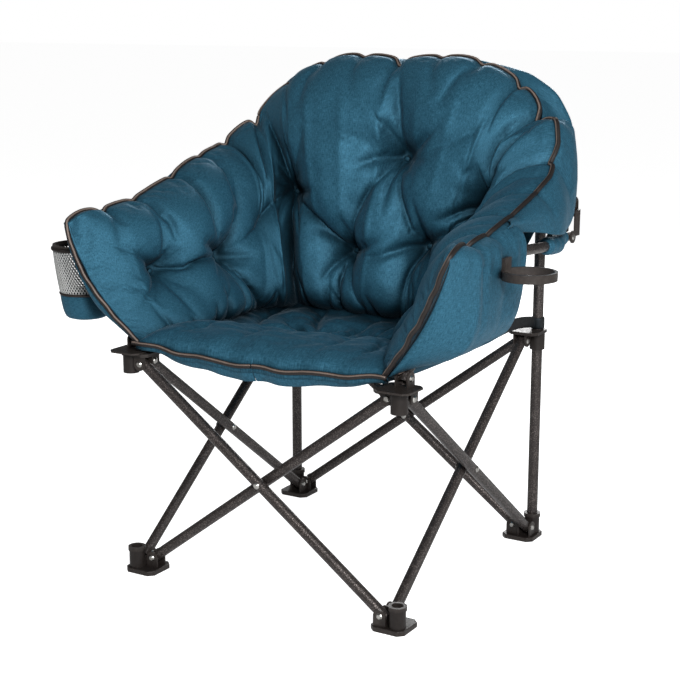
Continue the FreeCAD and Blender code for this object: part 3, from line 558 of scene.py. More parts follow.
@dataclass(frozen=True)
class MouldFinish(Finish):
    """Fine-grained moulded plastic with rubbed edges."""

    colour: tuple = (0.013, 0.010, 0.009)
    wear_and_highlight: tuple = (0.050, 0.042, 0.038)
    stops: tuple = (0.0, 0.9)
    scale: float = 1400.0
    cloud: float = 0.25
    roughness: float = 0.28
    specular: float = 0.28
    depth: float = 0.00012

    def build(self, effects: Effects) -> bpy.types.Material:
        """Build the material from the shared speckle and edge rub.

        Args:
            effects: The shared node groups.

        Returns:
            The material.
        """
        made, kit, shader = self.start()
        speckle = self.group(kit, effects.speckle, Scale=self.scale)
        rub = self.group(kit, effects.rub)
        patches = kit.math("MULTIPLY", speckle.outputs["Cloud"], self.cloud)
        stops = tuple(zip(self.stops, (self.colour, self.wear_and_highlight)))
        spread = kit.math("ADD", patches, rub.outputs["Mask"])
        kit.join(kit.ramp(spread, stops), shader.inputs["Base Color"])
        kit.join(kit.math("ADD", patches, self.roughness), shader.inputs["Roughness"])
        shader.inputs["Specular IOR Level"].default_value = self.specular
        self.relief(kit, shader, speckle.outputs["Cells"], self.depth)
        return made


@dataclass(frozen=True)
class SteelFinish(Finish):
    """Bright plated rivet steel, a little dulled in patches."""

    colour: tuple = (0.62, 0.61, 0.58)
    dull: tuple = (0.36, 0.35, 0.33)
    stops: tuple = (0.35, 0.6)
    scale: float = 900.0
    roughness: float = 0.14
    cloud: float = 0.3

    def build(self, effects: Effects) -> bpy.types.Material:
        """Build the material from the shared speckle.

        Args:
            effects: The shared node groups.

        Returns:
            The material.
        """
        made, kit, shader = self.start()
        speckle = self.group(kit, effects.speckle, Scale=self.scale)
        stops = tuple(zip(self.stops, (self.dull, self.colour)))
        kit.join(kit.ramp(speckle.outputs["Cloud"], stops), shader.inputs["Base Color"])
        shader.inputs["Metallic"].default_value = 1.0
        rough = kit.math("MULTIPLY", speckle.outputs["Cloud"], self.cloud)
        kit.join(kit.math("ADD", rough, self.roughness), shader.inputs["Roughness"])
        return made


class Finishes:
    """All the finishes of the chair, built once."""

    def __init__(self) -> None:
        """Build the shared effects, then every material."""
        effects = Effects()
        kinds = {
            "cloth": ClothFinish("teal_heather_cloth", "cloth"),
            "lining": ClothFinish("teal_outer_cloth", "cloth", sheen=0.06, roughness=0.60, satin=0.35),
            "piping": PipingFinish("dark_piping", "webbing"),
            "paint": PaintFinish("bronze_hammer_paint", "tube"),
            "mould": MouldFinish("dark_moulding", "moulding"),
            "trim": MouldFinish("dark_trim", "trim", roughness=0.22),
            "steel": SteelFinish("rivet_steel", "rivet"),
            "webbing": ClothFinish("dark_webbing", "webbing", dark=(0.006, 0.005, 0.005),
                                   light=(0.03, 0.026, 0.024), satin=0.0, threads=420.0),
            "net": ClothFinish("pale_net", "mesh", dark=(0.5, 0.5, 0.49), light=(0.82, 0.82, 0.8),
                               satin=0.0, threads=900.0),
        }
        self.slots = {word: kind.slot for word, kind in kinds.items()}
        self.made = {word: kind.build(effects) for word, kind in kinds.items()}

    def put(self, piece: bpy.types.Object, word: str) -> None:
        """Give a new piece a finish.

        Args:
            piece: The piece.
            word: The finish's word.
        """
        piece.data.materials.clear()
        piece.data.materials.append(self.made[word])

    def coat(self, node: str, word: str) -> None:
        """Give a CAD node a finish.

        Args:
            node: A CAD node's name.
            word: The finish's word.
        """
        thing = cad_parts[node]
        if not thing.material_slots:
            thing.data.materials.append(self.made[word])
        for slot in thing.material_slots:
            slot.material = self.made[word]


class Workshop:
    """Makes mesh pieces and hands them to the frame."""

    def __init__(self, finishes: Finishes) -> None:
        """Keep the finishes and start an empty count of pieces."""
        self.finishes = finishes
        self.count = 0

    def grid(self, name: str, points: np.ndarray, word: str, ring: bool = False, size: tuple = (1.0, 1.0),
             thickness: float = 0.0, levels: int = 1, caps: bool = False,
             normals: np.ndarray | None = None) -> bpy.types.Object:
        """A smooth piece from a grid of points.

        Args:
            name: The piece's name.
            points: Columns by rows by 3, in metres.
            word: Its finish.
            ring: Whether the rows close on themselves.
            size: Length of the cloth along columns and rows, in metres, for the weave.
            thickness: Solidify thickness, in metres; 0 leaves a single sheet or a closed form.
            levels: Subdivision levels.
            caps: Whether to close the first and last column of a ringed grid.
            normals: Shading normals of the first rows, so that a seam doesn't show.

        Returns:
            The new object.
        """
        columns, rows = points.shape[:2]
        made = bmesh.new()
        verts = [[made.verts.new(points[i, j]) for j in range(rows)] for i in range(columns)]
        cloth = made.loops.layers.uv.new("cloth")
        band = made.loops.layers.uv.new("band")
        last = rows if ring else rows - 1
        for i in range(columns - 1):
            for j in range(last):
                k = (j + 1) % rows
                corners = ((i, j), (i + 1, j), (i + 1, j + 1), (i, j + 1))
                face = made.faces.new((verts[i][j], verts[i + 1][j], verts[i + 1][k], verts[i][k]))
                for loop, (a, b) in zip(face.loops, corners):
                    share = (a / (columns - 1), b / last)
                    loop[cloth].uv = (share[0] * size[0], share[1] * size[1])
                    loop[band].uv = share
        if ring and caps:
            made.faces.new(list(reversed(verts[0])))
            made.faces.new(verts[-1])
        bmesh.ops.recalc_face_normals(made, faces=made.faces)
        mesh = bpy.data.meshes.new(name)
        made.to_mesh(mesh)
        made.free()
        for polygon in mesh.polygons:
            polygon.use_smooth = True
        if normals is not None:
            shading = np.zeros(points.shape)
            shading[:, 1:normals.shape[1] - 1] = normals[:, 1:-1]
            mesh.normals_split_custom_set_from_vertices(shading.reshape(-1, 3).tolist())
        piece = place_object(name, mesh)
        self.finishes.put(piece, word)
        if thickness:
            solid = piece.modifiers.new("thickness", "SOLIDIFY")
            solid.thickness = thickness
            solid.offset = 0.0
        if levels:
            finer = piece.modifiers.new("smooth", "SUBSURF")
            finer.levels = levels
            finer.render_levels = levels
        self.settle(piece)
        self.count += 1
        LOG.info("%s: %d points", name, len(piece.data.vertices))
        return piece

    @staticmethod
    def settle(piece: bpy.types.Object) -> None:
        """Apply a piece's modifiers to its mesh.

        Args:
            piece: The piece.
        """
        if not piece.modifiers:
            return
        view = bpy.context.evaluated_depsgraph_get()
        final = bpy.data.meshes.new_from_object(piece.evaluated_get(view))
        piece.modifiers.clear()
        piece.data = final

    def tube(self, name: str, path: np.ndarray, radius: object, word: str, sides: int = 10,
             up: tuple = (0.0, 0.0, 1.0), closed: bool = True) -> bpy.types.Object:
        """A round piece along a path.

        Args:
            name: The piece's name.
            path: Points of its middle line, in metres.
            radius: One radius, or one for each point, in metres.
            word: Its finish.
            sides: Points round it.
            up: Where the middle of its band UV faces; the piping's painted highlight band is centred there.
            closed: Whether its ends are closed.

        Returns:
            The new object.
        """
        radii = np.broadcast_to(np.asarray(radius, float), (len(path),))
        along = np.gradient(path, axis=0)
        along /= np.linalg.norm(along, axis=1)[:, None]
        facing = np.broadcast_to(np.asarray(up, float), path.shape)
        across = np.cross(along, facing)
        across /= np.linalg.norm(across, axis=1)[:, None]
        top = np.cross(across, along)
        angles = np.linspace(0.0, math.tau, sides, endpoint=False)
        rings = (path[:, None] - top[:, None] * (np.cos(angles) * radii[:, None])[..., None]
                 + across[:, None] * (np.sin(angles) * radii[:, None])[..., None])
        length = float(np.linalg.norm(np.diff(path, axis=0), axis=1).sum())
        girth = float(radii.mean() * math.tau)
        return self.grid(name, rings, word, ring=True, size=(length, girth), caps=closed)


@dataclass
class Bucket:
    """The shape of the bucket: where its rim, foot, tufts, creases and folds are.

    Lengths are in metres. Pairs in flare, bulge, taper, ear and lift are for the left and the right side,
    pairs in blunt and plump for below and above the middle. spans holds the lengths of half the back, of
    a rear corner and of an arm. ear_place and lift_place are a station and a width. A tuft is a station
    and a height, a crease two of these and a depth, a notch a station and a depth. notch_shape holds the
    share and the width of a notch's sharp and wide parts, and slow the waves per metre, seed and height
    of each ripple.
    """

    foot_height: float = 0.406
    foot_half: float = 0.238
    foot_rear: float = 0.150
    foot_front: float = 0.262
    rim_half: float = 0.338
    rim_rear: float = 0.232
    rim_front: float = 0.284
    corner: float = 0.130
    arm_height: float = 0.613
    back_height: float = 0.862
    spans: tuple = (0.158, 0.204, 0.331)
    fall_start: float = 0.5
    fall_end: float = 2.75
    nose_start: float = 2.84
    nose_run: float = 0.16
    nose_drop: float = 0.018
    flare: tuple = (0.027, 0.013)
    flare_start: float = 2.35
    bulge: tuple = (0.030, 0.010)
    bulge_start: float = 2.4
    edge: float = 0.012
    edge_power: int = 5
    under_tuft: float = 0.030
    under_share: float = 0.45
    under_front: float = 0.2
    puff: float = 0.074
    blunt: tuple = (6.0, 3.0)
    plump: tuple = (0.40, 0.55)
    slow: tuple = ((16.0, 3.1, 0.0040), (46.0, 7.7, 0.0014))
    rim_roll: float = 0.10
    hollow_back: float = 0.003
    dome: float = 0.040
    dome_power: float = 0.9
    tuft_reach: float = 1.15
    deepest: float = 0.98
    wrinkle: float = 0.0080
    wrinkle_power: float = 1.3
    fold_bow: float = 0.05
    crease_fade: float = 0.35
    taper: tuple = (0.115, 0.165)
    taper_round: float = 0.35
    scallop: float = 1.3
    scallop_rise: float = 0.0032
    scallop_out: float = 0.8
    scallop_most: float = 0.004
    ear: tuple = (0.002, 0.016)
    ear_place: tuple = (1.60, 0.11)
    lift: tuple = (0.026, 0.0)
    lift_place: tuple = (2.22, 0.33)
    tufts: tuple = ((0.18, 0.688), (-0.42, 0.520), (0.66, 0.538), (-1.20, 0.618), (1.30, 0.616),
                    (-2.22, 0.513), (2.15, 0.511), (-2.66, 0.507), (2.65, 0.507))
    creases: tuple = (
        (0.18, 0.688, -0.42, 0.520, 0.66), (0.18, 0.688, 0.66, 0.538, 0.64),
        (-0.42, 0.520, 0.66, 0.538, 0.40), (0.18, 0.688, -0.06, 0.880, 0.62),
        (0.18, 0.688, -0.80, 0.740, 0.26), (0.18, 0.688, 0.98, 0.735, 0.30),
        (-0.42, 0.520, -1.20, 0.618, 0.62), (0.66, 0.538, 1.30, 0.616, 0.60),
        (-1.20, 0.618, -2.22, 0.513, 0.52), (1.30, 0.616, 2.15, 0.511, 0.52),
        (-2.22, 0.513, -2.66, 0.507, 0.62), (2.15, 0.511, 2.65, 0.507, 0.62),
        (-1.20, 0.618, -1.54, 0.775, 0.70), (1.30, 0.616, 1.54, 0.760, 0.66),
        (-1.20, 0.618, -1.30, 0.400, 0.74), (1.30, 0.616, 1.36, 0.400, 0.66),
        (-0.42, 0.520, -0.52, 0.400, 0.58), (0.66, 0.538, 0.72, 0.400, 0.52),
        (-0.42, 0.520, 0.10, 0.400, 0.28), (-1.20, 0.618, -0.85, 0.720, 0.34),
        (-2.22, 0.513, -2.08, 0.680, 0.48), (2.15, 0.511, 2.06, 0.680, 0.42),
        (-2.22, 0.513, -1.84, 0.400, 0.64), (2.15, 0.511, 1.86, 0.400, 0.58),
        (-2.22, 0.513, -2.46, 0.400, 0.34), (2.15, 0.511, 2.42, 0.400, 0.26),
        (-2.66, 0.507, -2.66, 0.640, 0.50), (2.65, 0.507, 2.62, 0.640, 0.45),
        (-2.66, 0.507, -2.97, 0.430, 0.40), (2.65, 0.507, 2.93, 0.400, 0.30),
    )
    notches: tuple = (
        (-0.02, 0.017), (-0.40, 0.006), (-0.78, 0.010), (-1.16, 0.005), (-1.54, 0.021), (-1.86, 0.010),
        (-2.12, 0.005), (-2.34, 0.009), (-2.60, 0.006), (-2.80, 0.009), (0.36, 0.005), (0.74, 0.008),
        (1.10, 0.011), (1.40, 0.019), (1.82, 0.010), (2.12, 0.006), (2.36, 0.005), (2.60, 0.010),
        (2.79, 0.019),
    )
    notch_shape: tuple = ((0.6, 0.0075), (0.4, 0.028))
    notch_fold: float = 0.045
    notch_slant: float = 0.020
    rays: int = 8
    ray_length: float = 0.064
    ray_vary: float = 0.030
    ray_depth: float = 0.46
    ray_fade: float = 0.95
    gathers: int = 26
    gather_pitch: float = 0.051
    gather_slant: float = 0.022
    gather_depth: float = 0.28
    fold_fade: float = 0.8

    def plan(self, station: np.ndarray, half: float, rear: float, front: float) -> tuple:
        """Plan outline of the bucket at stations 0 (middle of the back) to 3 (front of the arm).

        Args:
            station: Stations on the right-hand side.
            half: Half width of the outline.
            rear: Its rear.
            front: Its front, ahead of the middle.

        Returns:
            The points and the outward directions, both columns by 2.
        """
        angle = np.clip(station - 1.0, 0.0, 1.0) * math.pi / 2
        out = np.stack([np.sin(angle), np.cos(angle)], -1)
        x = np.clip(station, 0.0, 1.0) * (half - self.corner) + np.sin(angle) * self.corner
        run = np.clip(station - 2.0, 0.0, None)
        y = rear - self.corner + np.cos(angle) * self.corner - run * (rear - self.corner + front)
        return np.stack([x, y], -1), out

    def rim_z(self, station: np.ndarray) -> np.ndarray:
        """Height of the rim: level over the back, falling to the arm, rounded off at the arm's front.

        Args:
            station: Stations on the right-hand side.

        Returns:
            The heights, in metres, without the scallops.
        """
        share = np.clip((station - self.fall_start) / (self.fall_end - self.fall_start), 0.0, 1.0)
        fall = (1.0 + np.cos(math.pi * share)) / 2
        nose = np.clip((station - self.nose_start) / self.nose_run, 0.0, 1.0)
        return self.arm_height + (self.back_height - self.arm_height) * fall - self.nose_drop * nose ** 2

    @staticmethod
    def of_side(station: np.ndarray, pair: tuple) -> np.ndarray:
        """The left or the right one of a pair of values, by the stations' signs."""
        return np.where(station < 0, *pair)

    @staticmethod
    def hump(station: np.ndarray, place: tuple) -> np.ndarray:
        """A round hump of height 1 at a place of some width, alike on both sides."""
        return np.exp(-((np.abs(station) - place[0]) / place[1]) ** 2)

    def pucker(self, station: np.ndarray) -> np.ndarray:
        """Scallops of the sewn rim.

        Args:
            station: Stations, -3 on the left to 3 on the right.

        Returns:
            How far the rim stands above its line, in metres; below 0 in the notches.
        """
        along = np.sign(station) * self.girth(np.abs(station))
        lift = np.zeros_like(along)
        for place, depth in self.notches:
            gap = np.abs(along - self.around(place))
            lift -= depth * sum(part * np.exp(-(gap / width) ** 2) for part, width in self.notch_shape)
        ear = self.of_side(station, self.ear) * self.hump(station, self.ear_place)
        fuller = self.of_side(station, self.lift) * self.hump(station, self.lift_place)
        return self.scallop * lift + self.scallop_rise + ear + fuller

    def lines(self, station: np.ndarray) -> tuple:
        """Foot and rim lines of the outer face.

        Args:
            station: Stations, -3 on the left to 3 on the right.

        Returns:
            Foot points, rim points and outward directions, each columns by 3.
        """
        away = np.abs(station)
        low, out = self.plan(away, self.foot_half, self.foot_rear, self.foot_front)
        high, _ = self.plan(away, self.rim_half, self.rim_rear, self.rim_front)
        high[:, 0] += self.of_side(station, self.flare) * smooth(self.flare_start, FRONT, away)
        draw = self.pucker(station)
        foot = np.concatenate([low, np.full((len(away), 1), self.foot_height)], 1)
        rim = np.concatenate([high, (self.rim_z(away) + draw)[:, None]], 1)
        outward = np.concatenate([out, np.zeros((len(away), 1))], 1)
        rim = rim + outward * np.minimum(draw * self.scallop_out, self.scallop_most)[:, None]
        mirror = np.where(station < 0, -1.0, 1.0)
        for line in (foot, rim, outward):
            line[:, 0] *= mirror
        return foot, rim, outward

    def girth(self, station: np.ndarray) -> np.ndarray:
        """Length along the bucket from the middle of the back to a station, in metres.

        Args:
            station: Stations on the right-hand side, 0 or more.

        Returns:
            The lengths.
        """
        back, corner, arm = self.spans
        return (back * np.clip(station, 0, 1) + corner * np.clip(station - 1, 0, 1)
                + arm * np.clip(station - 2, 0, None))

    def stations(self, along: np.ndarray) -> np.ndarray:
        """Stations at lengths along the bucket; the inverse of girth, for both sides."""
        bounds = np.arange(FRONT + 1.0)
        return np.sign(along) * np.interp(np.abs(along), self.girth(bounds), bounds)

    @property
    def reach(self) -> float:
        """Length along the bucket from the middle of the back to an arm's front, in metres."""
        return float(self.girth(np.array(FRONT)))

    def around(self, station: float) -> float:
        """Signed length along the bucket at a signed station, in metres."""
        return math.copysign(float(self.girth(np.array(abs(station)))), station)

    def seams(self) -> list:
        """The creases between tufts as (length along, height, end along, end height, depth, fading)."""
        return [(self.around(s0), z0, self.around(s1), z1, depth, self.crease_fade)
                for s0, z0, s1, z1, depth in self.creases]

    def tuft_rays(self) -> list:
        """Small folds that run out from the tufts unevenly, in the form that seams gives.

        Returns:
            The folds.
        """
        found = []
        for number, (s0, z0) in enumerate(self.tufts):
            begin = self.around(s0)
            for ray in range(self.rays):
                angle = (ray + 0.35 * math.sin(ray * 3.7 + number * 1.9)) * math.tau / self.rays + number
                reach = self.ray_length + self.ray_vary * math.sin(ray * 2.3 + number * 4.1)
                end = (begin + reach * math.cos(angle), z0 + reach * math.sin(angle))
                found.append((begin, z0, *end, self.ray_depth, self.ray_fade))
        return found

    def notch_folds(self) -> list:
        """Small folds below the rim's notches, longer and deeper below deep ones, as seams gives them.

        Returns:
            The folds.
        """
        found = []
        for number, (place, depth) in enumerate(self.notches):
            begin = self.around(place)
            top = float(self.rim_z(np.array(abs(place))))
            end = (begin + self.notch_slant * math.sin(number * 2.7), top - self.notch_fold - 3.0 * depth)
            found.append((begin, top, *end, 0.20 + 14.0 * depth, self.fold_fade))
        return found

    def foot_gathers(self) -> list:
        """Small folds that stand on the bucket's foot, uneven in slant and height, as seams gives them.

        Returns:
            The folds.
        """
        found = []
        for number in range(self.gathers):
            begin = (number - (self.gathers - 1) / 2) * self.gather_pitch
            slant = self.gather_slant * math.sin(number * 3.3)
            tall = 0.040 + 0.022 * math.sin(number * 5.1)
            found.append((begin, 0.400, begin + slant, 0.420 + tall, self.gather_depth, self.fold_fade))
        return found

    def wrinkles(self) -> list:
        """All small folds: at the tufts, below the notches and on the foot."""
        return self.tuft_rays() + self.notch_folds() + self.foot_gathers()

    def away(self, along: np.ndarray, height: np.ndarray, fold: tuple) -> tuple:
        """Distance of points from a fold, which bows a little, and its depth beside them.

        Args:
            along: Lengths along the bucket.
            height: Heights above the floor.
            fold: Begin, end, depth and fading of the fold.

        Returns:
            The distances, in metres, and the depths.
        """
        *ends, depth, fading = fold
        gap, share = fold_gap(along, height, ends, self.fold_bow)
        return gap, depth * (1.0 - fading * share)

    def fullness(self, station: np.ndarray, height: np.ndarray) -> np.ndarray:
        """How far the padding swells between tufts and creases, 0 to 1.

        Args:
            station: Stations, any shape; negative ones are on the left.
            height: Heights above the floor, the same shape.

        Returns:
            The swelling.
        """
        along = np.sign(station) * self.girth(np.abs(station))
        valley = np.zeros_like(along)
        for fold in self.seams():
            gap, depth = self.away(along, height, fold)
            valley += (depth * np.exp(-(gap / self.dome) ** self.dome_power)) ** 4
        for s0, z0 in self.tufts:
            gap = np.hypot(along - self.around(s0), height - z0)
            pit = np.exp(-(gap / (self.dome * self.tuft_reach)) ** self.dome_power)
            valley += (self.deepest * pit) ** 4
        swell = 1.0 - np.minimum(valley ** 0.25, self.deepest)
        for fold in self.wrinkles():
            gap, depth = self.away(along, height, fold)
            swell *= 1.0 - depth * np.exp(-(gap / self.wrinkle) ** self.wrinkle_power)
        return swell

    def flat(self, station: np.ndarray, share: np.ndarray) -> tuple:
        """The outer face before it is padded, bowed out towards the arms' fronts.

        Args:
            station: Stations, -3 to 3.
            share: Shares of the way from foot to rim, 0 to 1.

        Returns:
            Points, columns by rows by 3, and outward directions, columns by 3.
        """
        foot, rim, outward = self.lines(station)
        flat = foot[:, None] + (rim - foot)[:, None] * share[None, :, None]
        reach = self.of_side(station, self.bulge) * smooth(self.bulge_start, FRONT, np.abs(station))
        bow = reach[:, None] * np.sin(share * math.pi)[None]
        return flat + outward[:, None] * bow[..., None], outward

    def inner(self, station: np.ndarray, share: np.ndarray) -> np.ndarray:
        """The padded inner face.

        Args:
            station: Stations, -3 to 3.
            share: Shares of the way from foot to rim, 0 to 1.

        Returns:
            Points, columns by rows by 3.
        """
        flat, outward = self.flat(station, share)
        grid = np.broadcast_to(station[:, None], flat.shape[:2])
        swell = self.fullness(grid, flat[..., 2])
        from_middle = np.abs(2.0 * share - 1.0)
        edge = 1.0 - from_middle ** self.edge_power
        low = share < 0.5
        plump = np.clip(1.0 - from_middle ** np.where(low, *self.blunt), 0.0, 1.0)
        plump = plump ** np.where(low, *self.plump)
        ahead = (FRONT - np.abs(station)) * self.spans[2]
        front = np.clip(ahead / self.of_side(station, self.taper), 0.0, 1.0)
        front = np.minimum(front * (1.0 + self.taper_round - self.taper_round * front), 1.0)
        full = plump[None, :] * front[:, None]
        core = (self.under_tuft - self.edge) * (self.under_share + (1.0 - self.under_share) * swell)
        fading = self.under_front + (1.0 - self.under_front) * front
        depth = self.edge + core * edge[None, :] * fading[:, None]
        depth = depth + (self.puff * swell + ripples(flat, self.slow)) * full
        rise = np.array([0.0, 0.0, self.rim_roll]) * (depth * smooth(0.5, 1.0, share))[..., None]
        return flat - outward[:, None] * depth[..., None] + rise

    def outer(self, station: np.ndarray, share: np.ndarray) -> np.ndarray:
        """The plain outer face, from rim to foot, drawn in a little between them."""
        flat, outward = self.flat(station, 1.0 - share)
        return flat - outward[:, None] * (self.hollow_back * np.sin(share * math.pi))[None, :, None]


@dataclass
class Pads:
    """The padded inner pieces of the bucket, their piping and buttons."""

    shop: Workshop
    bucket: Bucket = field(default_factory=Bucket)
    seam: float = 1.5
    seam_column: int = 42
    side_columns: int = 112
    rows: int = 58
    behind: int = 9
    weave_height: float = 0.80
    cord: float = 0.0043
    cord_inset: float = 0.35
    cord_rise: float = 0.4
    front_wave: float = 0.0016
    front_waves: tuple = (37.0, 29.0, 23.0)
    front_skip: int = 4
    button: float = 0.0068
    button_lift: float = 0.0005
    button_dome: float = 0.6
    button_tip: float = 0.0004
    tuft_hold: float = 0.009
    frames: int = 20
    swell_cap: float = 0.005
    back_keep: float = 0.2

    def build(self) -> None:
        """Build the whole padded face, cut it at its seams, then add piping and buttons."""
        face = self.face()
        middle = face.shape[0] // 2
        cut = self.seam_column * 2
        for side in Side:
            for part, first, last in (("back", 0, cut), ("arm", cut, middle)):
                self.pad(side, part, face, middle, first, last)
            self.piping(side)
            self.buttons(side, face)

    def hold(self, piece: bpy.types.Object, side: Side, part: str) -> None:
        """Let a piece move with the arm, or with the half bow.

        Args:
            piece: The piece.
            side: Which side of the chair.
            part: "back" or "arm".
        """
        word = side.word
        if part == "arm":
            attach(piece, f"{word}_arm")
            return
        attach(piece, f"{word}_bow")
        fold_back(piece)

    @staticmethod
    def shares(count: int) -> np.ndarray:
        """Shares of the way from foot to rim, closer together at both ends."""
        even = np.linspace(0.0, 1.0, count)
        return 0.5 * (1.0 - np.cos(even * math.pi)) / 2 + 0.5 * even

    def face(self) -> np.ndarray:
        """The inner face from the left arm's front to the right one's, settled as cloth.

        Returns:
            A fine grid of points, columns by rows by 3.
        """
        reach = self.bucket.reach
        coarse = self.bucket.stations(np.linspace(-reach, reach, 2 * self.side_columns + 1))
        fine = self.bucket.stations(np.linspace(-reach, reach, 4 * self.side_columns + 1))
        rows = 2 * self.rows - 1
        face = self.bucket.inner(fine, self.shares(rows))
        start = self.bucket.inner(coarse, self.shares(rows)[::2])
        moved = self.settle_cloth(start) - start
        long = np.linalg.norm(moved, axis=-1, keepdims=True)
        moved = moved * (self.swell_cap * np.tanh(long / self.swell_cap) / np.maximum(long, TINY))
        for axis, count in ((0, face.shape[0]), (1, face.shape[1])):
            steps = np.linspace(0.0, moved.shape[axis] - 1.0, count)
            low = np.minimum(steps.astype(int), moved.shape[axis] - 2)
            part = (steps - low).reshape((-1, 1, 1) if axis == 0 else (1, -1, 1))
            moved = np.take(moved, low, axis) * (1.0 - part) + np.take(moved, low + 1, axis) * part
        return face + moved

    def settle_cloth(self, start: np.ndarray) -> np.ndarray:
        """Blow the sewn cloth up between its tufts and edges, so that its spare length wrinkles.

        Args:
            start: The grid to begin from.

        Returns:
            The grid after the simulation.
        """
        columns, rows = start.shape[:2]
        index = np.arange(columns * rows).reshape(columns, rows)
        quads = np.stack([index[:-1, :-1], index[:-1, 1:], index[1:, 1:], index[1:, :-1]], -1)
        mesh = bpy.data.meshes.new("bucket_cloth")
        mesh.from_pydata(start.reshape(-1, 3).tolist(), [], quads.reshape(-1, 4).tolist())
        mesh.update()
        middle = mesh.polygons[(columns // 2) * (rows - 1) + rows // 2]
        if middle.normal.y > 0:
            mesh.flip_normals()
        thing = place_object("bucket_cloth", mesh)
        held = np.zeros((columns, rows), bool)
        held[[0, -1], :] = True
        held[:, [0, -1]] = True
        for station, height in self.bucket.tufts:
            held |= np.linalg.norm(start - self.spot(start, station, height), axis=-1) < self.tuft_hold
        group = thing.vertex_groups.new(name="held")
        group.add(index[held].tolist(), 1.0, "REPLACE")
        cloth = thing.modifiers.new("cloth", "CLOTH")
        rule = cloth.settings
        rule.vertex_group_mass = "held"
        rule.quality = 6
        rule.mass = 0.12
        rule.tension_stiffness = 18.0
        rule.compression_stiffness = 10.0
        rule.shear_stiffness = 4.0
        rule.bending_stiffness = 0.05
        rule.use_pressure = True
        rule.uniform_pressure_force = 3.5
        rule.shrink_min = -0.045
        rule.effector_weights.gravity = 0.0
        cloth.point_cache.frame_start = 1
        cloth.point_cache.frame_end = self.frames
        scene = bpy.context.scene
        for number in range(1, self.frames + 1):
            scene.frame_set(number)
        view = bpy.context.evaluated_depsgraph_get()
        final = thing.evaluated_get(view).data
        found = np.empty(columns * rows * 3)
        final.vertices.foreach_get("co", found)
        bpy.data.objects.remove(thing)
        scene.frame_set(1)
        LOG.info("bucket_cloth: settled %d points", columns * rows)
        return found.reshape(columns, rows, 3)

    def spot(self, face: np.ndarray, station: float, height: float) -> np.ndarray:
        """The point of the face at a tuft.

        Args:
            face: The whole inner face, or a coarser grid of it.
            station: The tuft's station.
            height: Its height above the floor.

        Returns:
            The grid's nearest point.
        """
        columns = face.shape[0]
        reach = self.bucket.reach
        column = int(round((self.bucket.around(station) + reach) / (2 * reach) * (columns - 1)))
        share = (height - self.bucket.foot_height) / (face[column, -1, 2] - self.bucket.foot_height)
        row = int(np.argmin(np.abs(self.shares(face.shape[1]) - share)))
        return face[column, row]

    def pad(self, side: Side, part: str, face: np.ndarray, middle: int, first: int, last: int) -> None:
        """Build one padded piece from a stretch of the whole face.

        Args:
            side: Which side of the chair.
            part: "back" or "arm".
            face: The whole inner face.
            middle: Its middle column.
            first: First column of the piece, counted from the middle.
            last: Its last column.
        """
        chosen = middle + side.value * np.arange(first, last + 1)
        reach = self.bucket.reach
        station = self.bucket.stations(np.linspace(-reach, reach, face.shape[0]))[chosen]
        if station[0] == 0.0 and side is Side.LEFT:
            station[0] = -TINY
        back = self.bucket.outer(station, np.linspace(0.0, 1.0, self.behind))[:, :-1]
        loop = np.concatenate([face[chosen], back], axis=1)
        size = ((last - first) / middle * reach, self.weave_height)
        name = f"{part}_cushion_{side.word}"
        around = face_normals(face)[chosen]
        piece = self.shop.grid(name, loop, "cloth", ring=True, size=size, levels=0, caps=True,
                               normals=around)
        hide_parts(f"{part}_pad_{side.word}")
        self.hold(piece, side, part)

    def edge_line(self, side: Side, first: float, last: float, count: int) -> np.ndarray:
        """The piping's line between two stations, a little inside the rim and above it.

        Args:
            side: Which side of the chair.
            first: Station of its first point, on the right-hand side.
            last: Station of its last point.
            count: How many points.

        Returns:
            The points.
        """
        station = side.value * np.maximum(np.linspace(first, last, count), TINY)
        _, rim, outward = self.bucket.lines(station)
        above = np.array([0.0, 0.0, self.cord * self.cord_rise])
        return rim - outward * self.bucket.edge * self.cord_inset + above

    def piping(self, side: Side) -> None:
        """Build the piping of the rim, and down the front edge of the arm.

        Args:
            side: Which side of the chair.
        """
        back = self.edge_line(side, 0.0, self.seam, 220)
        # The up directions aim the piping's painted highlight band.
        piece = self.shop.tube(f"back_piping_{side.word}", back, self.cord, "piping", up=(0.0, -0.6, 0.8))
        self.hold(piece, side, "back")
        top = self.edge_line(side, self.seam, FRONT, 240)
        down = np.linspace(0.0, 1.0, 60)[:, None]
        flat, outward = self.bucket.flat(np.array([FRONT * side.value]), 1.0 - down[:, 0])
        front = flat[0] - outward[0] * self.bucket.edge * 0.5
        front[:, 1] -= self.cord * 0.5
        front += self.front_wave * np.sin(down * np.array(self.front_waves)) * np.sin(down * math.pi)
        line = relax(np.concatenate([top, front[self.front_skip:]], axis=0), 4)
        # The arm piping's painted highlight band faces this way.
        inward = (-0.5 * side.value, -0.7, 0.5)
        piece = self.shop.tube(f"arm_piping_{side.word}", line, self.cord, "piping", up=inward)
        self.hold(piece, side, "arm")

    def buttons(self, side: Side, face: np.ndarray) -> None:
        """Build the small covered buttons at the bottom of the tufts.

        Args:
            side: Which side of the chair.
            face: The whole inner face.
        """
        for number, (station, height) in enumerate(self.bucket.tufts):
            if station * side.value < 0.0:
                continue
            _, _, outward = self.bucket.lines(np.array([station]))
            spot = self.spot(face, station, height)
            part = "back" if abs(station) < self.seam else "arm"
            angles = np.linspace(0.0, math.pi / 2, 6)
            rise = self.button_lift + self.button * self.button_dome * np.sin(angles)
            path = spot - outward[0] * rise[:, None]
            radii = np.maximum(self.button * np.cos(angles), self.button_tip)
            piece = self.shop.tube(f"button_{side.word}_{number}", path, radii, "lining", sides=14)
            self.hold(piece, side, part)


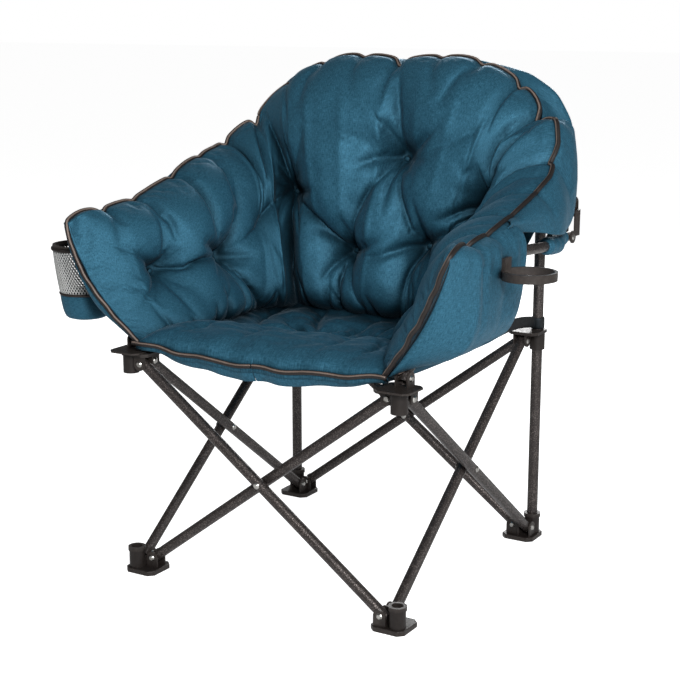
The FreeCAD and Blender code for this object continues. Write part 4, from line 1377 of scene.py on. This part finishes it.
@dataclass
class Seat:
    """The seat pad with its front piping and the band that hangs below it.

    Lengths are in metres. round_along and round_across hold a power and a root. wave_out, wave_up and
    band_wave hold a height, radians per metre and, where there is a third number, a phase. slump_front
    and slump_rear are the shares of the way to the rear where the slump begins and where it is full. A
    tuft is a place across and along, a crease two of these, a depth and a width, and star_place a
    distance and a width.
    """

    shop: Workshop
    half: float = 0.236
    front: float = 0.268
    rear: float = 0.146
    base: float = 0.392
    edge: float = 0.012
    crown: float = 0.040
    round_along: tuple = (6, 0.5)
    round_across: tuple = (5, 0.6)
    sag: float = 0.012
    front_bow: float = 0.004
    front_lip: float = 0.004
    front_blend: float = 0.3
    wave_out: tuple = (0.0016, 95.0)
    wave_up: tuple = (0.0018, 61.0, 0.8)
    slump: float = 0.026
    slump_front: tuple = (0.05, 0.60)
    slump_rear: tuple = (1.0, 0.86)
    slump_side: float = 0.9
    tufts: tuple = ((-0.045, -0.030), (0.085, -0.020))
    tuft_depth: float = 0.80
    tuft_reach: float = 0.040
    star_points: float = 5.0
    star_depth: float = 0.70
    star_place: tuple = (0.035, 0.045)
    ripple: tuple = ((13.0, 9.3, 0.0080),)
    cross_ripple: tuple = ((34.0, 4.4, 0.0036),)
    cross_stretch: tuple = (1.0, 2.2, 1.0)
    fold_bow: float = 0.12
    crease_widths: tuple = (0.6, 2.4)
    crease_ends: tuple = (0.08, 0.92)
    weave_length: float = 0.84
    cord: float = 0.0040
    band: float = 0.020
    band_least: float = 0.008
    band_rows: int = 7
    band_back: float = 0.003
    band_curl: float = 0.012
    band_wave: tuple = (0.0015, 120.0)
    band_thickness: float = 0.0016
    trim_lap: float = 0.006
    keep: float = 0.3
    columns: int = 96
    rows: int = 84
    creases: tuple = ((0.02, 0.10, 0.05, -0.10, 0.55, 0.012), (0.12, 0.12, 0.06, 0.00, 0.45, 0.010),
                      (-0.10, 0.13, -0.02, -0.02, 0.50, 0.011), (-0.17, 0.12, -0.12, -0.08, 0.40, 0.010),
                      (0.10, -0.24, 0.06, -0.08, 0.35, 0.012), (-0.05, -0.25, -0.09, -0.10, 0.35, 0.012),
                      (0.20, 0.02, 0.06, -0.05, 0.30, 0.012), (-0.21, -0.10, -0.09, -0.06, 0.35, 0.012),
                      (0.17, -0.24, 0.15, -0.12, 0.30, 0.010), (-0.17, -0.25, -0.15, -0.15, 0.30, 0.010))

    def build(self) -> None:
        """Build both halves."""
        face = self.face()
        for side in Side:
            self.pad(side, face)
            self.trim(side)

    def hold(self, piece: bpy.types.Object, side: Side) -> None:
        """Let a piece hang from the rear hub's half of the seat."""
        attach(piece, f"{side.word}_seat")
        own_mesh(piece)

    def toward_middle(self, x: np.ndarray) -> np.ndarray:
        """A round share that is 1 in the seat's middle and 0 at its sides."""
        return np.cos(np.clip(x / self.half, -1.0, 1.0) * math.pi / 2)

    def front_line(self, x: np.ndarray) -> np.ndarray:
        """The seat's front edge: it dips and bows forward in the middle.

        Args:
            x: Places across the seat, in metres.

        Returns:
            The points.
        """
        mid = self.toward_middle(x)
        height, waves = self.wave_out
        y = -self.front - self.front_bow * mid + height * np.sin(x * waves)
        height, waves, phase = self.wave_up
        z = self.base + self.edge + self.front_lip - self.sag * mid + height * np.sin(x * waves + phase)
        return np.stack([x, y, z], -1)

    def carried_back(self, edge: np.ndarray, along: np.ndarray) -> np.ndarray:
        """Heights from the dipping front edge back to the level rear.

        Args:
            edge: Heights of the front edge, one for each column.
            along: Shares of the way from front to rear, columns or 1 by rows.

        Returns:
            The heights, columns by rows.
        """
        return edge[:, None] + (self.base + self.edge - edge[:, None]) * smooth(0.0, self.front_blend, along)

    def fullness(self, x: np.ndarray, y: np.ndarray) -> np.ndarray:
        """How far the pad swells between its creases and tufts.

        Args:
            x: Places across the seat, in metres.
            y: Places along it, the same shape.

        Returns:
            The swelling, about 0 to 1.
        """
        swell = np.ones_like(x)
        for *ends, depth, width in self.creases:
            gap, share = fold_gap(x, y, ends, self.fold_bow)
            sharp = sum(0.5 * np.exp(-(gap / (width * part)) ** 2) for part in self.crease_widths)
            swell *= 1.0 - depth * np.sin(np.clip(share, *self.crease_ends) * math.pi) * sharp
        for number, (x0, y0) in enumerate(self.tufts):
            away = np.hypot(x - x0, y - y0)
            angle = np.arctan2(y - y0, x - x0)
            star = 0.5 + 0.5 * np.cos(angle * self.star_points + number + 0.6 * np.sin(angle * 2.0))
            pit = self.tuft_depth * np.exp(-away / self.tuft_reach)
            near, wide = self.star_place
            swell *= 1.0 - pit - self.star_depth * star ** 3 * np.exp(-((away - near) / wide) ** 2)
        return swell

    def face(self) -> np.ndarray:
        """The top of the whole seat pad, crowned, with the folds that sitting leaves.

        Returns:
            Points from left to right, columns by rows by 3.
        """
        across = np.linspace(-1.0, 1.0, 2 * self.columns + 1)
        along = np.linspace(0.0, 1.0, self.rows)
        a, b = np.meshgrid(across, along, indexing="ij")
        x = self.half * a
        edge = self.front_line(x[:, 0])
        y = edge[:, 1][:, None] + (self.rear - edge[:, 1][:, None]) * b
        (long_power, long_root), (wide_power, wide_root) = self.round_along, self.round_across
        lift = (np.clip(1.0 - (2.0 * b - 1.0) ** long_power, 0.0, 1.0) ** long_root
                * np.clip(1.0 - np.abs(a) ** wide_power, 0.0, 1.0) ** wide_root)
        front = self.carried_back(edge[:, 2], b)
        flat = np.stack([x, y, np.zeros_like(x)], -1)
        folds = ripples(flat, self.ripple) + ripples(flat * np.array(self.cross_stretch), self.cross_ripple)
        top = front + (self.crown * self.fullness(x, y) + folds) * lift - self.drop(a, b)
        return np.stack([x, y, top], -1)

    def drop(self, across: np.ndarray, along: np.ndarray) -> np.ndarray:
        """How far the pad has slumped between its edges.

        Args:
            across: Shares of the way from the middle to the sides.
            along: Shares of the way from front to rear.

        Returns:
            The drop, in metres.
        """
        inner = smooth(*self.slump_front, along) * smooth(*self.slump_rear, along)
        return self.slump * inner * (1.0 - self.slump_side * np.abs(across) ** 6)

    def pad(self, side: Side, face: np.ndarray) -> None:
        """Build one half of the pad from the whole top.

        Args:
            side: Which side of the chair.
            face: The top of the whole pad.
        """
        chosen = self.columns + side.value * np.arange(self.columns + 1)
        upper = face[chosen]
        below = upper.copy()
        edge = self.front_line(upper[:, 0, 0])[:, 2]
        along = np.linspace(0.0, 1.0, self.rows)
        under = self.carried_back(edge, along[None])
        share = np.abs(upper[:, :1, 0]) / self.half
        below[..., 2] = under - self.edge * 0.9 - self.drop(share, along[None])
        loop = np.concatenate([upper, below[:, ::-1]], axis=1)
        around = face_normals(face)[chosen]
        piece = self.shop.grid(f"seat_cushion_{side.word}", loop, "cloth", ring=True,
                               size=(self.half, self.weave_length), levels=0, caps=True, normals=around)
        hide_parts(f"seat_pad_{side.word}")
        self.hold(piece, side)

    def trim(self, side: Side) -> None:
        """Build one half of the front piping and of the band under it.

        Args:
            side: Which side of the chair.
        """
        x = side.value * np.linspace(0.0, self.half + self.trim_lap, 90)
        line = self.front_line(x)
        line[:, 1] -= self.cord * 0.6
        # The seat piping's painted highlight band faces forward and up.
        piece = self.shop.tube(f"seat_piping_{side.word}", line, self.cord, "piping", up=(0.0, -0.8, 0.6))
        self.hold(piece, side)
        drop = np.linspace(0.0, 1.0, self.band_rows)
        deep = self.band_least + self.band * self.toward_middle(x) ** 0.7
        sheet = np.repeat(line[:, None], self.band_rows, axis=1)
        sheet[..., 2] -= deep[:, None] * drop[None]
        height, waves = self.band_wave
        sheet[..., 1] += self.band_back + self.band_curl * drop[None] ** 2
        sheet[..., 1] += height * np.sin(x * waves)[:, None] * drop[None]
        size = (0.245, 0.029)
        piece = self.shop.grid(f"seat_band_{side.word}", sheet, "lining", size=size,
                               thickness=self.band_thickness)
        self.hold(piece, side)


@dataclass
class OuterCloth:
    """The plain outer cloth: arm panels, wings, back skins over the bow, sleeves and corner straps.

    Lengths are in metres, and places are on the right-hand side. panel_line and bow_knots hold x and z,
    wing_knots, sleeve_knots and the rail's tip x, y and z. wing_first is the first knot used on the left
    and on the right. panel_start holds a run and a power, pleat a height, radians per metre and a slant,
    pleat_place a share of the way down and a width, wing_belly the ways out and up. skin_over and
    skin_under hold tube radii outside the bow and a y. sleeve_gather holds a height and a count in
    radians, sleeve_cuff a depth and a width.
    """

    shop: Workshop
    bucket: Bucket = field(default_factory=Bucket)
    thickness: float = 0.0020
    panel_stop: float = 2.42
    panel_rows: int = 44
    panel_bow: float = 0.003
    panel_fade: float = 3.0
    panel_start: tuple = (0.062, 0.62)
    panel_ripple: tuple = ((20.0, 5.5, 0.0030), (55.0, 2.5, 0.0010))
    pleat: tuple = (0.0030, 190.0, 4.0)
    pleat_place: tuple = (0.16, 0.10)
    tail_start: float = -0.175
    tail_run: float = 0.060
    tail_rise: float = 0.012
    tail_draw: float = 0.045
    hem: float = 0.0022
    panel_line: tuple = ((0.338, 0.613), (0.352, 0.608), (0.3635, 0.600), (0.3672, 0.588), (0.3680, 0.56),
                         (0.3672, 0.52), (0.3620, 0.482), (0.3480, 0.452), (0.3200, 0.434), (0.2860, 0.424),
                         (0.2600, 0.418))
    bow_knots: tuple = ((0.0, 0.845), (0.10, 0.845), (0.165, 0.839), (0.225, 0.827), (0.272, 0.798),
                        (0.298, 0.755), (0.306, 0.71), (0.308, 0.66), (0.310, 0.640))
    wing_knots: tuple = ((0.318, 0.243, 0.745), (0.3265, 0.240, 0.695), (0.331, 0.232, 0.640),
                         (0.3345, 0.214, 0.598), (0.336, 0.188, 0.5835), (0.3440, 0.155, 0.5835),
                         (0.3600, 0.118, 0.5855), (0.3695, 0.082, 0.5880), (0.3680, 0.045, 0.5930),
                         (0.3600, 0.008, 0.6010), (0.3500, -0.05, 0.6080), (0.3440, -0.100, 0.6110))
    wing_first: tuple = (1, 0)
    wing_start: float = 1.46
    wing_lap: float = 0.02
    wing_belly: tuple = (0.010, 0.006)
    wing_ripple: tuple = ((24.0, 6.6, 0.0035), (60.0, 1.7, 0.0012))
    skin_stop: float = 1.55
    skin_over: tuple = ((1.0, 0.252), (0.75, 0.264), (0.0, 0.2685), (-1.0, 0.2655))
    skin_under: tuple = (-2.2, 0.256)
    skin_lead: float = 0.005
    skin_belly: float = 0.008
    skin_ripple: tuple = ((15.0, 8.2, 0.0035), (42.0, 1.2, 0.0012))
    tuck: float = 0.004
    rail: tuple = (0.3558, -0.2055, 0.5880)
    rail_slope: float = 0.059
    rail_room: float = 0.0130
    rail_end: float = 0.006
    notch_fade: float = 24.0
    sleeve_knots: tuple = ((0.315, 0.214, 0.5632), (0.3155, 0.190, 0.5647), (0.323, 0.162, 0.5663),
                           (0.340, 0.125, 0.5685), (0.3525, 0.094, 0.5703), (0.3556, 0.066, 0.5720),
                           (0.3558, 0.042, 0.5734))
    sleeve_radius: float = 0.0146
    sleeve_swell: float = 0.0014
    sleeve_gather: tuple = (0.0005, 47.0)
    sleeve_cuff: tuple = (0.0040, 0.03)
    strap_heights: tuple = (0.3893, 0.4100)
    strap_post: tuple = (0.256, 0.256)
    strap_corner: tuple = (0.229, 0.1475)
    strap_loop: float = 0.0114
    strap_ply: float = 0.0009
    strap_arch: float = 0.007
    strap_thickness: float = 0.0016
    tube: float = 0.0125

    def build(self) -> None:
        """Build both sides."""
        for side in Side:
            self.panel(side)
            self.wing(side)
            self.skin(side)
            self.sleeve(side)
            self.strap(side)

    @staticmethod
    def even(knots: tuple, count: int, rounds: int = 6) -> np.ndarray:
        """A smooth line through knots, with points at even spacing.

        Args:
            knots: Points, two or three numbers each.
            count: How many points to return.
            rounds: How often the line is smoothed between its ends.

        Returns:
            The points.
        """
        spots = np.array(knots)
        steps = np.concatenate([[0.0], np.cumsum(np.linalg.norm(np.diff(spots, axis=0), axis=1))])
        at = np.linspace(0.0, steps[-1], count)
        line = np.stack([np.interp(at, steps, spots[:, axis]) for axis in range(spots.shape[1])], -1)
        return relax(line, rounds)

    def right_lines(self, side: Side, station: np.ndarray) -> tuple:
        """A side's lines of the bucket, mirrored to the right-hand side if it is the left one.

        Args:
            side: Which side of the chair.
            station: Stations on the right-hand side.

        Returns:
            Foot points, rim points and outward directions, each columns by 3.
        """
        lines = self.bucket.lines(station * side.value)
        for line in lines:
            line[:, 0] *= side.value
        return lines

    def clear_rail(self, points: np.ndarray) -> None:
        """Push points of a right-hand cover out of the arm rail, in place.

        Args:
            points: Columns by rows by 3.
        """
        tip = self.rail[1]
        high = self.rail[2] - (points[..., 1] - tip) * self.rail_slope
        aside = np.stack([points[..., 0] - self.rail[0], points[..., 2] - high], -1)
        far = np.maximum(np.linalg.norm(aside, axis=-1), 1e-6)
        short = np.clip(self.rail_room - far, 0.0, None) * (points[..., 1] > tip - self.rail_end)
        points[..., 0] += aside[..., 0] / far * short
        points[..., 2] += aside[..., 1] / far * short

    def panel(self, side: Side) -> None:
        """Build an outer arm panel: from the rim over the rail, hanging full, drawn in under the arm.

        Args:
            side: Which side of the chair.
        """
        station = np.concatenate([np.linspace(FRONT, 2.86, 22), np.linspace(2.85, self.panel_stop, 34)])
        _, rim, outward = self.right_lines(side, station)
        share = np.linspace(0.0, 1.0, self.panel_rows)
        belly = np.sin(share * math.pi)[None]
        plain, _ = self.bucket.flat(station * side.value, 1.0 - share)
        plain[..., 0] *= side.value
        plain[..., 0] += self.panel_bow * belly
        full = self.even(self.panel_line, self.panel_rows, 3)
        hung = plain.copy()
        top = rim[:, 2] - self.panel_line[0][1]
        above = 1.0 - share[None]
        wider = (rim[:, 0] - self.bucket.rim_half)[:, None]
        hung[..., 0] = full[None, :, 0] + wider * above ** self.panel_fade
        fade = np.where(top < 0.0, self.notch_fade, self.panel_fade)
        hung[..., 2] = full[None, :, 1] + top[:, None] * above ** fade[:, None]
        hung[..., 1] = rim[:, 1][:, None]
        run, power = self.panel_start
        begin = np.clip((rim[:, 1] + self.bucket.rim_front) / run, 0.0, 1.0)
        points = plain + (hung - plain) * (begin ** power)[:, None, None]
        tail = np.clip((rim[:, 1] - self.tail_start) / self.tail_run, 0.0, 1.0)[:, None]
        points[..., 2] += tail ** 2 * smooth(0.55, 1.0, share)[None] * self.tail_rise
        points[..., 1] -= tail ** 1.5 * smooth(0.30, 1.0, share)[None] * self.tail_draw
        deep, waves, slant = self.pleat
        near, wide = self.pleat_place
        pleat = deep * np.sin(points[..., 1] * waves + slant * share[None])
        pleat = pleat * np.exp(-((share - near) / wide) ** 2)[None]
        points[..., 0] += (ripples(points, self.panel_ripple) + pleat) * (belly * begin[:, None])
        points[:, 0] -= outward * self.tuck
        self.clear_rail(points)
        points[..., 0] *= side.value
        piece = self.shop.grid(f"arm_cover_{side.word}", points, "lining", size=(0.19, 0.30),
                               thickness=self.thickness)
        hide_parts(f"arm_panel_{side.word}")
        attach(piece, f"{side.word}_arm")
        hem = points[:, -1] + np.array([0.0, 0.0, -0.001])
        # The hem's painted highlight band faces outward.
        piece = self.shop.tube(f"arm_hem_{side.word}", hem[10:], self.hem, "piping",
                               up=(side.value, 0.0, 0.2))
        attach(piece, f"{side.word}_arm")

    def wing(self, side: Side) -> None:
        """Build the cloth between the rim of a rear corner and the bow, the bracket and the rail's sleeve.

        Args:
            side: Which side of the chair.
        """
        count = 70
        station = np.linspace(self.wing_start, self.panel_stop + self.wing_lap, count)
        _, rim, outward = self.right_lines(side, station)
        low = self.even(self.wing_knots[self.wing_first[side is Side.RIGHT]:], count, 8)
        share = np.linspace(0.0, 1.0, 18)
        points = rim[:, None] + (low - rim)[:, None] * share[None, :, None]
        belly = np.sin(share * math.pi)[None]
        out, up = self.wing_belly
        points += (outward[:, None] * out + np.array([0.0, 0.0, up])) * belly[..., None]
        points += outward[:, None] * (ripples(points, self.wing_ripple) * belly)[..., None]
        points[:, 0] -= outward * self.tuck
        points[..., 0] *= side.value
        piece = self.shop.grid(f"wing_cover_{side.word}", points, "lining", size=(0.34, 0.12),
                               thickness=self.thickness)
        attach(piece, f"{side.word}_arm")

    def skin(self, side: Side) -> None:
        """Build half of the back's outer skin: from the rim, over the bow, down to the seat's rear edge.

        Args:
            side: Which side of the chair.
        """
        count = 70
        foot, rim, outward = self.right_lines(side, np.linspace(TINY, self.skin_stop, count))
        bow = self.even(self.bow_knots, count, 4)
        away = np.stack([-np.gradient(bow[:, 1]), np.gradient(bow[:, 0])], -1)
        away = away / np.linalg.norm(away, axis=1)[:, None]

        def beside(radii: float, y: float) -> np.ndarray:
            """A line that runs along the bow, some tube radii outside its middle line, at one y."""
            spots = bow + away * (self.tube * radii)
            return np.stack([spots[:, 0], np.full(count, y), spots[:, 1]], -1)

        over = [beside(*row) for row in self.skin_over]
        rows = [rim] + [rim + (over[0] - rim) * part for part in (0.3, 0.6, 0.85)] + over
        under = beside(*self.skin_under)
        lead = foot + outward * self.skin_lead
        for part in np.linspace(0.0, 1.0, 18):
            row = under + (lead - under) * part
            row[:, 1] += self.skin_belly * np.sin(part * math.pi)
            rows.append(row)
        points = np.stack(rows, axis=1)
        points[:, 1:-1] = (points[:, :-2] + 4 * points[:, 1:-1] + points[:, 2:]) / 6
        below_bow = smooth(8.0, 12.0, np.arange(points.shape[1], dtype=float))[None]
        points[..., 1] += ripples(points, self.skin_ripple) * below_bow
        points[..., 0] *= side.value
        piece = self.shop.grid(f"back_cover_{side.word}", points, "lining", size=(0.36, 0.52),
                               thickness=self.thickness)
        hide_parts(f"back_skin_{side.word}")
        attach(piece, f"{side.word}_bow")
        fold_back(piece)

    def sleeve(self, side: Side) -> None:
        """Build the gathered sleeve on the rear end of an arm rail.

        Args:
            side: Which side of the chair.
        """
        path = self.even(self.sleeve_knots, 80)
        path[:, 0] *= side.value
        share = np.linspace(0.0, 1.0, len(path))
        gather, waves = self.sleeve_gather
        radii = self.sleeve_radius + self.sleeve_swell * np.sin(share * math.pi)
        radii += gather * np.sin(share * waves)
        tight, wide = self.sleeve_cuff
        radii -= tight * (np.exp(-(share / wide) ** 2) + np.exp(-((1.0 - share) / wide) ** 2))
        piece = self.shop.tube(f"rail_sleeve_{side.word}", path, radii, "lining", sides=20)
        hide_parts(f"arm_sleeve_{side.word}")
        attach(piece, f"{side.word}_arm")

    def strap(self, side: Side) -> None:
        """Build the webbing strap round the post and to the seat's rear corner.

        Args:
            side: Which side of the chair.
        """
        low, high = self.strap_heights
        post = np.array(self.strap_post)
        corner = np.array(self.strap_corner)
        toward = (corner - post) / np.linalg.norm(corner - post)
        start = math.atan2(toward[1], toward[0])
        turn = np.linspace(start + 0.10, start + math.tau - 0.10, 40)
        loop = post + self.strap_loop * np.stack([np.cos(turn), np.sin(turn)], -1)
        run = np.linspace(0.12, 1.0, 16)[:, None]
        side_step = np.array([-toward[1], toward[0]]) * self.strap_ply
        out = post + (corner - post) * run + side_step
        back = post + (corner - post) * run - side_step
        path = np.concatenate([out[::-1], loop, back], axis=0)
        points = np.zeros((len(path), 4, 3))
        points[..., :2] = path[:, None]
        arch = np.sin(run[:, 0] * math.pi)
        bend = np.concatenate([arch[::-1], np.zeros(len(loop)), arch])
        points[..., 2] = np.linspace(low, high, 4)[None] + self.strap_arch * bend[:, None]
        points[..., 0] *= side.value
        piece = self.shop.grid(f"seat_strap_{side.word}", points, "webbing", size=(0.30, 0.021),
                               thickness=self.strap_thickness)
        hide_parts(f"corner_strap_{side.word}")
        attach(piece, f"rear_{side.word}_hub")
        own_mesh(piece)


@dataclass
class CupHolders:
    """The mesh cup holder on the left arm.

    Lengths are in metres. bag_profile holds shares of the radius and of the height, from the seam to the
    floor, and bag_wave a share of the radius, the waves round the bag and a phase.
    """

    shop: Workshop
    wires: int = 50
    levels: int = 18
    wire: float = 0.0008
    narrow: float = 0.20
    lean: float = 0.010
    inset: float = 0.001
    net_bulge: float = 0.015
    bag_wave: tuple = (0.012, 5.0, 0.6)
    bag_profile: tuple = ((1.0, 1.0), (1.01, 0.8), (1.005, 0.5), (0.99, 0.25), (0.93, 0.07), (0.8, 0.01),
                          (0.45, 0.0), (0.02, 0.0))
    bag_thickness: float = 0.002
    rim_cord: float = 0.0042
    seam_cord: float = 0.0028

    def build(self) -> None:
        """Build the net, the closed base and the bindings of the rim and the seam between them."""
        low, high = (np.array(corner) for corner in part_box("cup_mesh"))
        centre = (low + high) / 2
        radius = float(high[0] - low[0]) / 2 - self.inset
        self.net(centre, radius, float(low[2]), float(high[2]))
        self.base(centre, radius)
        self.binding(centre, radius, float(high[2]), "cup_rim_binding", "trim", self.rim_cord)
        self.binding(centre, radius, float(low[2]), "cup_seam_binding", "piping", self.seam_cord)

    def hang(self, height: float) -> tuple:
        """How the bag narrows and leans in below its rim.

        Args:
            height: A height on the holder.

        Returns:
            The share of its full radius, and how far its middle has moved inward, in metres.
        """
        top = float(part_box("cup_mesh")[1][2])
        low = float(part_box("cup_base")[0][2])
        down = (top - height) / (top - low)
        return 1.0 - self.narrow * down, self.lean * down ** 1.5

    def net(self, centre: np.ndarray, radius: float, low: float, high: float) -> None:
        """Build the open net band as a diamond lattice of thin cords.

        Args:
            centre: Middle of the holder.
            radius: Its radius.
            low: Lower edge of the net.
            high: Its upper edge.
        """
        made = bmesh.new()
        rows = []
        for level in range(self.levels + 1):
            z = low + (high - low) * level / self.levels
            shift = 0.5 * (level % 2)
            share, inward = self.hang(z)
            bulge = radius * share * (1.0 + self.net_bulge * math.sin(math.pi * level / self.levels))
            row = []
            for number in range(self.wires):
                angle = (number + shift) * math.tau / self.wires
                spot = (centre[0] + inward + bulge * math.cos(angle), centre[1] + bulge * math.sin(angle), z)
                row.append(made.verts.new(spot))
            rows.append(row)
        for level, (below, above) in enumerate(zip(rows, rows[1:])):
            step = 1 if level % 2 else -1
            for number, vert in enumerate(below):
                made.edges.new((vert, above[number]))
                made.edges.new((vert, above[(number + step) % self.wires]))
        mesh = bpy.data.meshes.new("cup_net")
        made.to_mesh(mesh)
        made.free()
        piece = place_object("cup_net", mesh)
        skin = piece.modifiers.new("cords", "SKIN")
        skin.use_smooth_shade = True
        for vert in mesh.skin_vertices[0].data:
            vert.radius = (self.wire, self.wire)
        Workshop.settle(piece)
        for name in ("cloth", "band"):
            piece.data.uv_layers.new(name=name)
        self.shop.finishes.put(piece, "net")
        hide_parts("cup_mesh")
        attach(piece, "left_arm")
        self.shop.count += 1
        LOG.info("cup_net: %d points", len(piece.data.vertices))

    def base(self, centre: np.ndarray, radius: float) -> None:
        """Build the closed lower band, softly rounded at its floor.

        Args:
            centre: Middle of the holder.
            radius: Its radius.
        """
        low, high = (np.array(corner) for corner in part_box("cup_base"))
        angles = np.linspace(0.0, math.tau, 48, endpoint=False)
        tall = float(high[2] - low[2])
        ring = np.zeros((len(self.bag_profile), len(angles), 3))
        deep, waves, phase = self.bag_wave
        wave = 1.0 + deep * np.sin(angles * waves + phase)
        for number, (out, up) in enumerate(self.bag_profile):
            height = float(low[2]) + tall * up
            share, inward = self.hang(height)
            ring[number, :, 0] = centre[0] + inward + radius * share * out * np.cos(angles) * wave
            ring[number, :, 1] = centre[1] + radius * share * out * np.sin(angles) * wave
            ring[number, :, 2] = height
        piece = self.shop.grid("cup_bag", ring, "lining", ring=True, size=(0.12, 0.30),
                               thickness=self.bag_thickness)
        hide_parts("cup_base")
        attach(piece, "left_arm")

    def binding(self, centre: np.ndarray, radius: float, height: float, name: str, word: str,
                cord: float) -> None:
        """Build a bound edge round the holder.

        Args:
            centre: Middle of the holder.
            radius: Its radius.
            height: Height of the edge.
            name: The piece's name.
            word: Its finish.
            cord: Radius of the binding.
        """
        angles = np.linspace(0.0, math.tau, 72)
        share, inward = self.hang(height)
        path = np.stack([centre[0] + inward + radius * share * np.cos(angles),
                         centre[1] + radius * share * np.sin(angles), np.full(len(angles), height)], -1)
        piece = self.shop.tube(name, path, cord, word, closed=False)
        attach(piece, "left_arm")


@dataclass(frozen=True)
class Studio:
    """Floor, light and camera; a lamp is a name, a place, an edge length in metres and a power in watts."""

    aim: tuple = (-0.002, 0.0, 0.3868)
    azimuth: float = math.radians(31.03)
    elevation: float = math.radians(12.60)
    distance: float = 2.5676
    lens: float = 78.56
    lamps: tuple = (("key", (2.0, -2.4, 1.85), 0.8, 106.0), ("fill", (-1.6, -2.9, 1.6), 1.2, 8.0),
                    ("side", (3.0, 0.4, 1.2), 1.2, 12.0), ("rear", (-0.9, 3.0, 1.7), 1.4, 60.0))
    ambient: float = 0.12
    glow: float = 0.88
    floor_reach: float = 30.0
    floor_colour: tuple = (0.82, 0.82, 0.82)
    floor_roughness: float = 0.9

    def build(self) -> None:
        """Set the floor, the world, the soft lamps and the camera."""
        scene = bpy.context.scene
        scene.view_settings.view_transform = "Standard"
        self.floor()
        self.world(scene)
        for lamp in self.lamps:
            self.lamp(*lamp)
        self.camera(scene)

    def floor(self) -> None:
        """A wide pale floor that turns white to the camera but keeps the shadow."""
        mesh = bpy.data.meshes.new("floor")
        reach = self.floor_reach
        corners = [(-reach, -reach, 0.0), (reach, -reach, 0.0), (reach, reach, 0.0), (-reach, reach, 0.0)]
        mesh.from_pydata(corners, [], [(0, 1, 2, 3)])
        thing = place_object("floor", mesh)
        made = bpy.data.materials.new("pale_floor")
        made.use_nodes = True
        shader = made.node_tree.nodes["Principled BSDF"]
        shader.inputs["Base Color"].default_value = (*self.floor_colour, 1.0)
        shader.inputs["Roughness"].default_value = self.floor_roughness
        shader.inputs["Emission Color"].default_value = (1.0, 1.0, 1.0, 1.0)
        kit = NodeKit(made.node_tree)
        path = kit.add("ShaderNodeLightPath")
        shown = kit.math("MULTIPLY", path.outputs["Is Camera Ray"], self.glow)
        kit.join(shown, shader.inputs["Emission Strength"])
        mesh.materials.append(made)

    def world(self, scene: bpy.types.Scene) -> None:
        """Even soft light all round, white to the camera.

        Args:
            scene: The scene.
        """
        made = bpy.data.worlds.new("studio")
        made.use_nodes = True
        kit = NodeKit(made.node_tree)
        back = made.node_tree.nodes["Background"]
        path = kit.add("ShaderNodeLightPath")
        shown = kit.math("MULTIPLY", path.outputs["Is Camera Ray"], self.glow)
        kit.join(kit.math("ADD", shown, self.ambient), back.inputs["Strength"])
        back.inputs["Color"].default_value = (1.0, 1.0, 1.0, 1.0)
        scene.world = made

    def lamp(self, name: str, place: tuple, size: float, power: float) -> None:
        """A soft square lamp aimed at the chair.

        Args:
            name: The lamp's name.
            place: Where it stands.
            size: Its edge length, in metres.
            power: Its power, in watts.
        """
        light = bpy.data.lights.new(name, "AREA")
        light.size = size
        light.energy = power
        thing = place_object(name, light)
        thing.location = place
        thing.rotation_euler = (Vector(self.aim) - Vector(place)).to_track_quat("-Z", "Y").to_euler()

    def camera(self, scene: bpy.types.Scene) -> None:
        """The camera at the photograph's angle.

        Args:
            scene: The scene.
        """
        lens = bpy.data.cameras.new("camera")
        lens.sensor_width = 36.0
        lens.lens = self.lens
        away = Vector((math.sin(self.azimuth) * math.cos(self.elevation),
                       -math.cos(self.azimuth) * math.cos(self.elevation), math.sin(self.elevation)))
        thing = place_object("camera", lens)
        thing.location = Vector(self.aim) + away * self.distance
        thing.rotation_euler = (-away).to_track_quat("-Z", "Y").to_euler()
        scene.camera = thing


@dataclass(frozen=True)
class Frame:
    """The carried-over tubes, mouldings and rivets; a node takes the first kind that it begins with."""

    kinds: tuple = (
        ("foot_rivets", "steel"), ("hub_rivets", "steel"), ("cross_rivet", "steel"), ("bow_rivets", "steel"),
        ("cup_ri", "trim"), ("foot_", "mould"), ("hub_", "mould"), ("bracket", "mould"),
        ("arm_foot", "mould"), ("bow_knuckle", "mould"), ("bar_", "paint"), ("post_", "paint"),
        ("bow_", "paint"), ("arm_rail", "paint"), ("arm_upright", "paint"), ("corner_strap", "webbing"),
        ("cup_mesh", "net"),
    )

    def dress(self, finishes: Finishes) -> None:
        """Give every CAD node a finish; soft ones are replaced later.

        Args:
            finishes: The finishes by their words.
        """
        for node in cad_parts:
            word = next((kind for start, kind in self.kinds if node.startswith(start)), "lining")
            finishes.coat(node, word)
            LOG.info("%s: %s", node, word)


def main() -> None:
    """Build the chair piece by piece."""
    logging.basicConfig(level=logging.INFO, format="%(name)s %(message)s")
    finishes = Finishes()
    shop = Workshop(finishes)
    Frame().dress(finishes)
    Pads(shop).build()
    Seat(shop).build()
    OuterCloth(shop).build()
    CupHolders(shop).build()
    Studio().build()
    LOG.info("%d pieces made", shop.count)


if __name__ == "__main__":
    main()
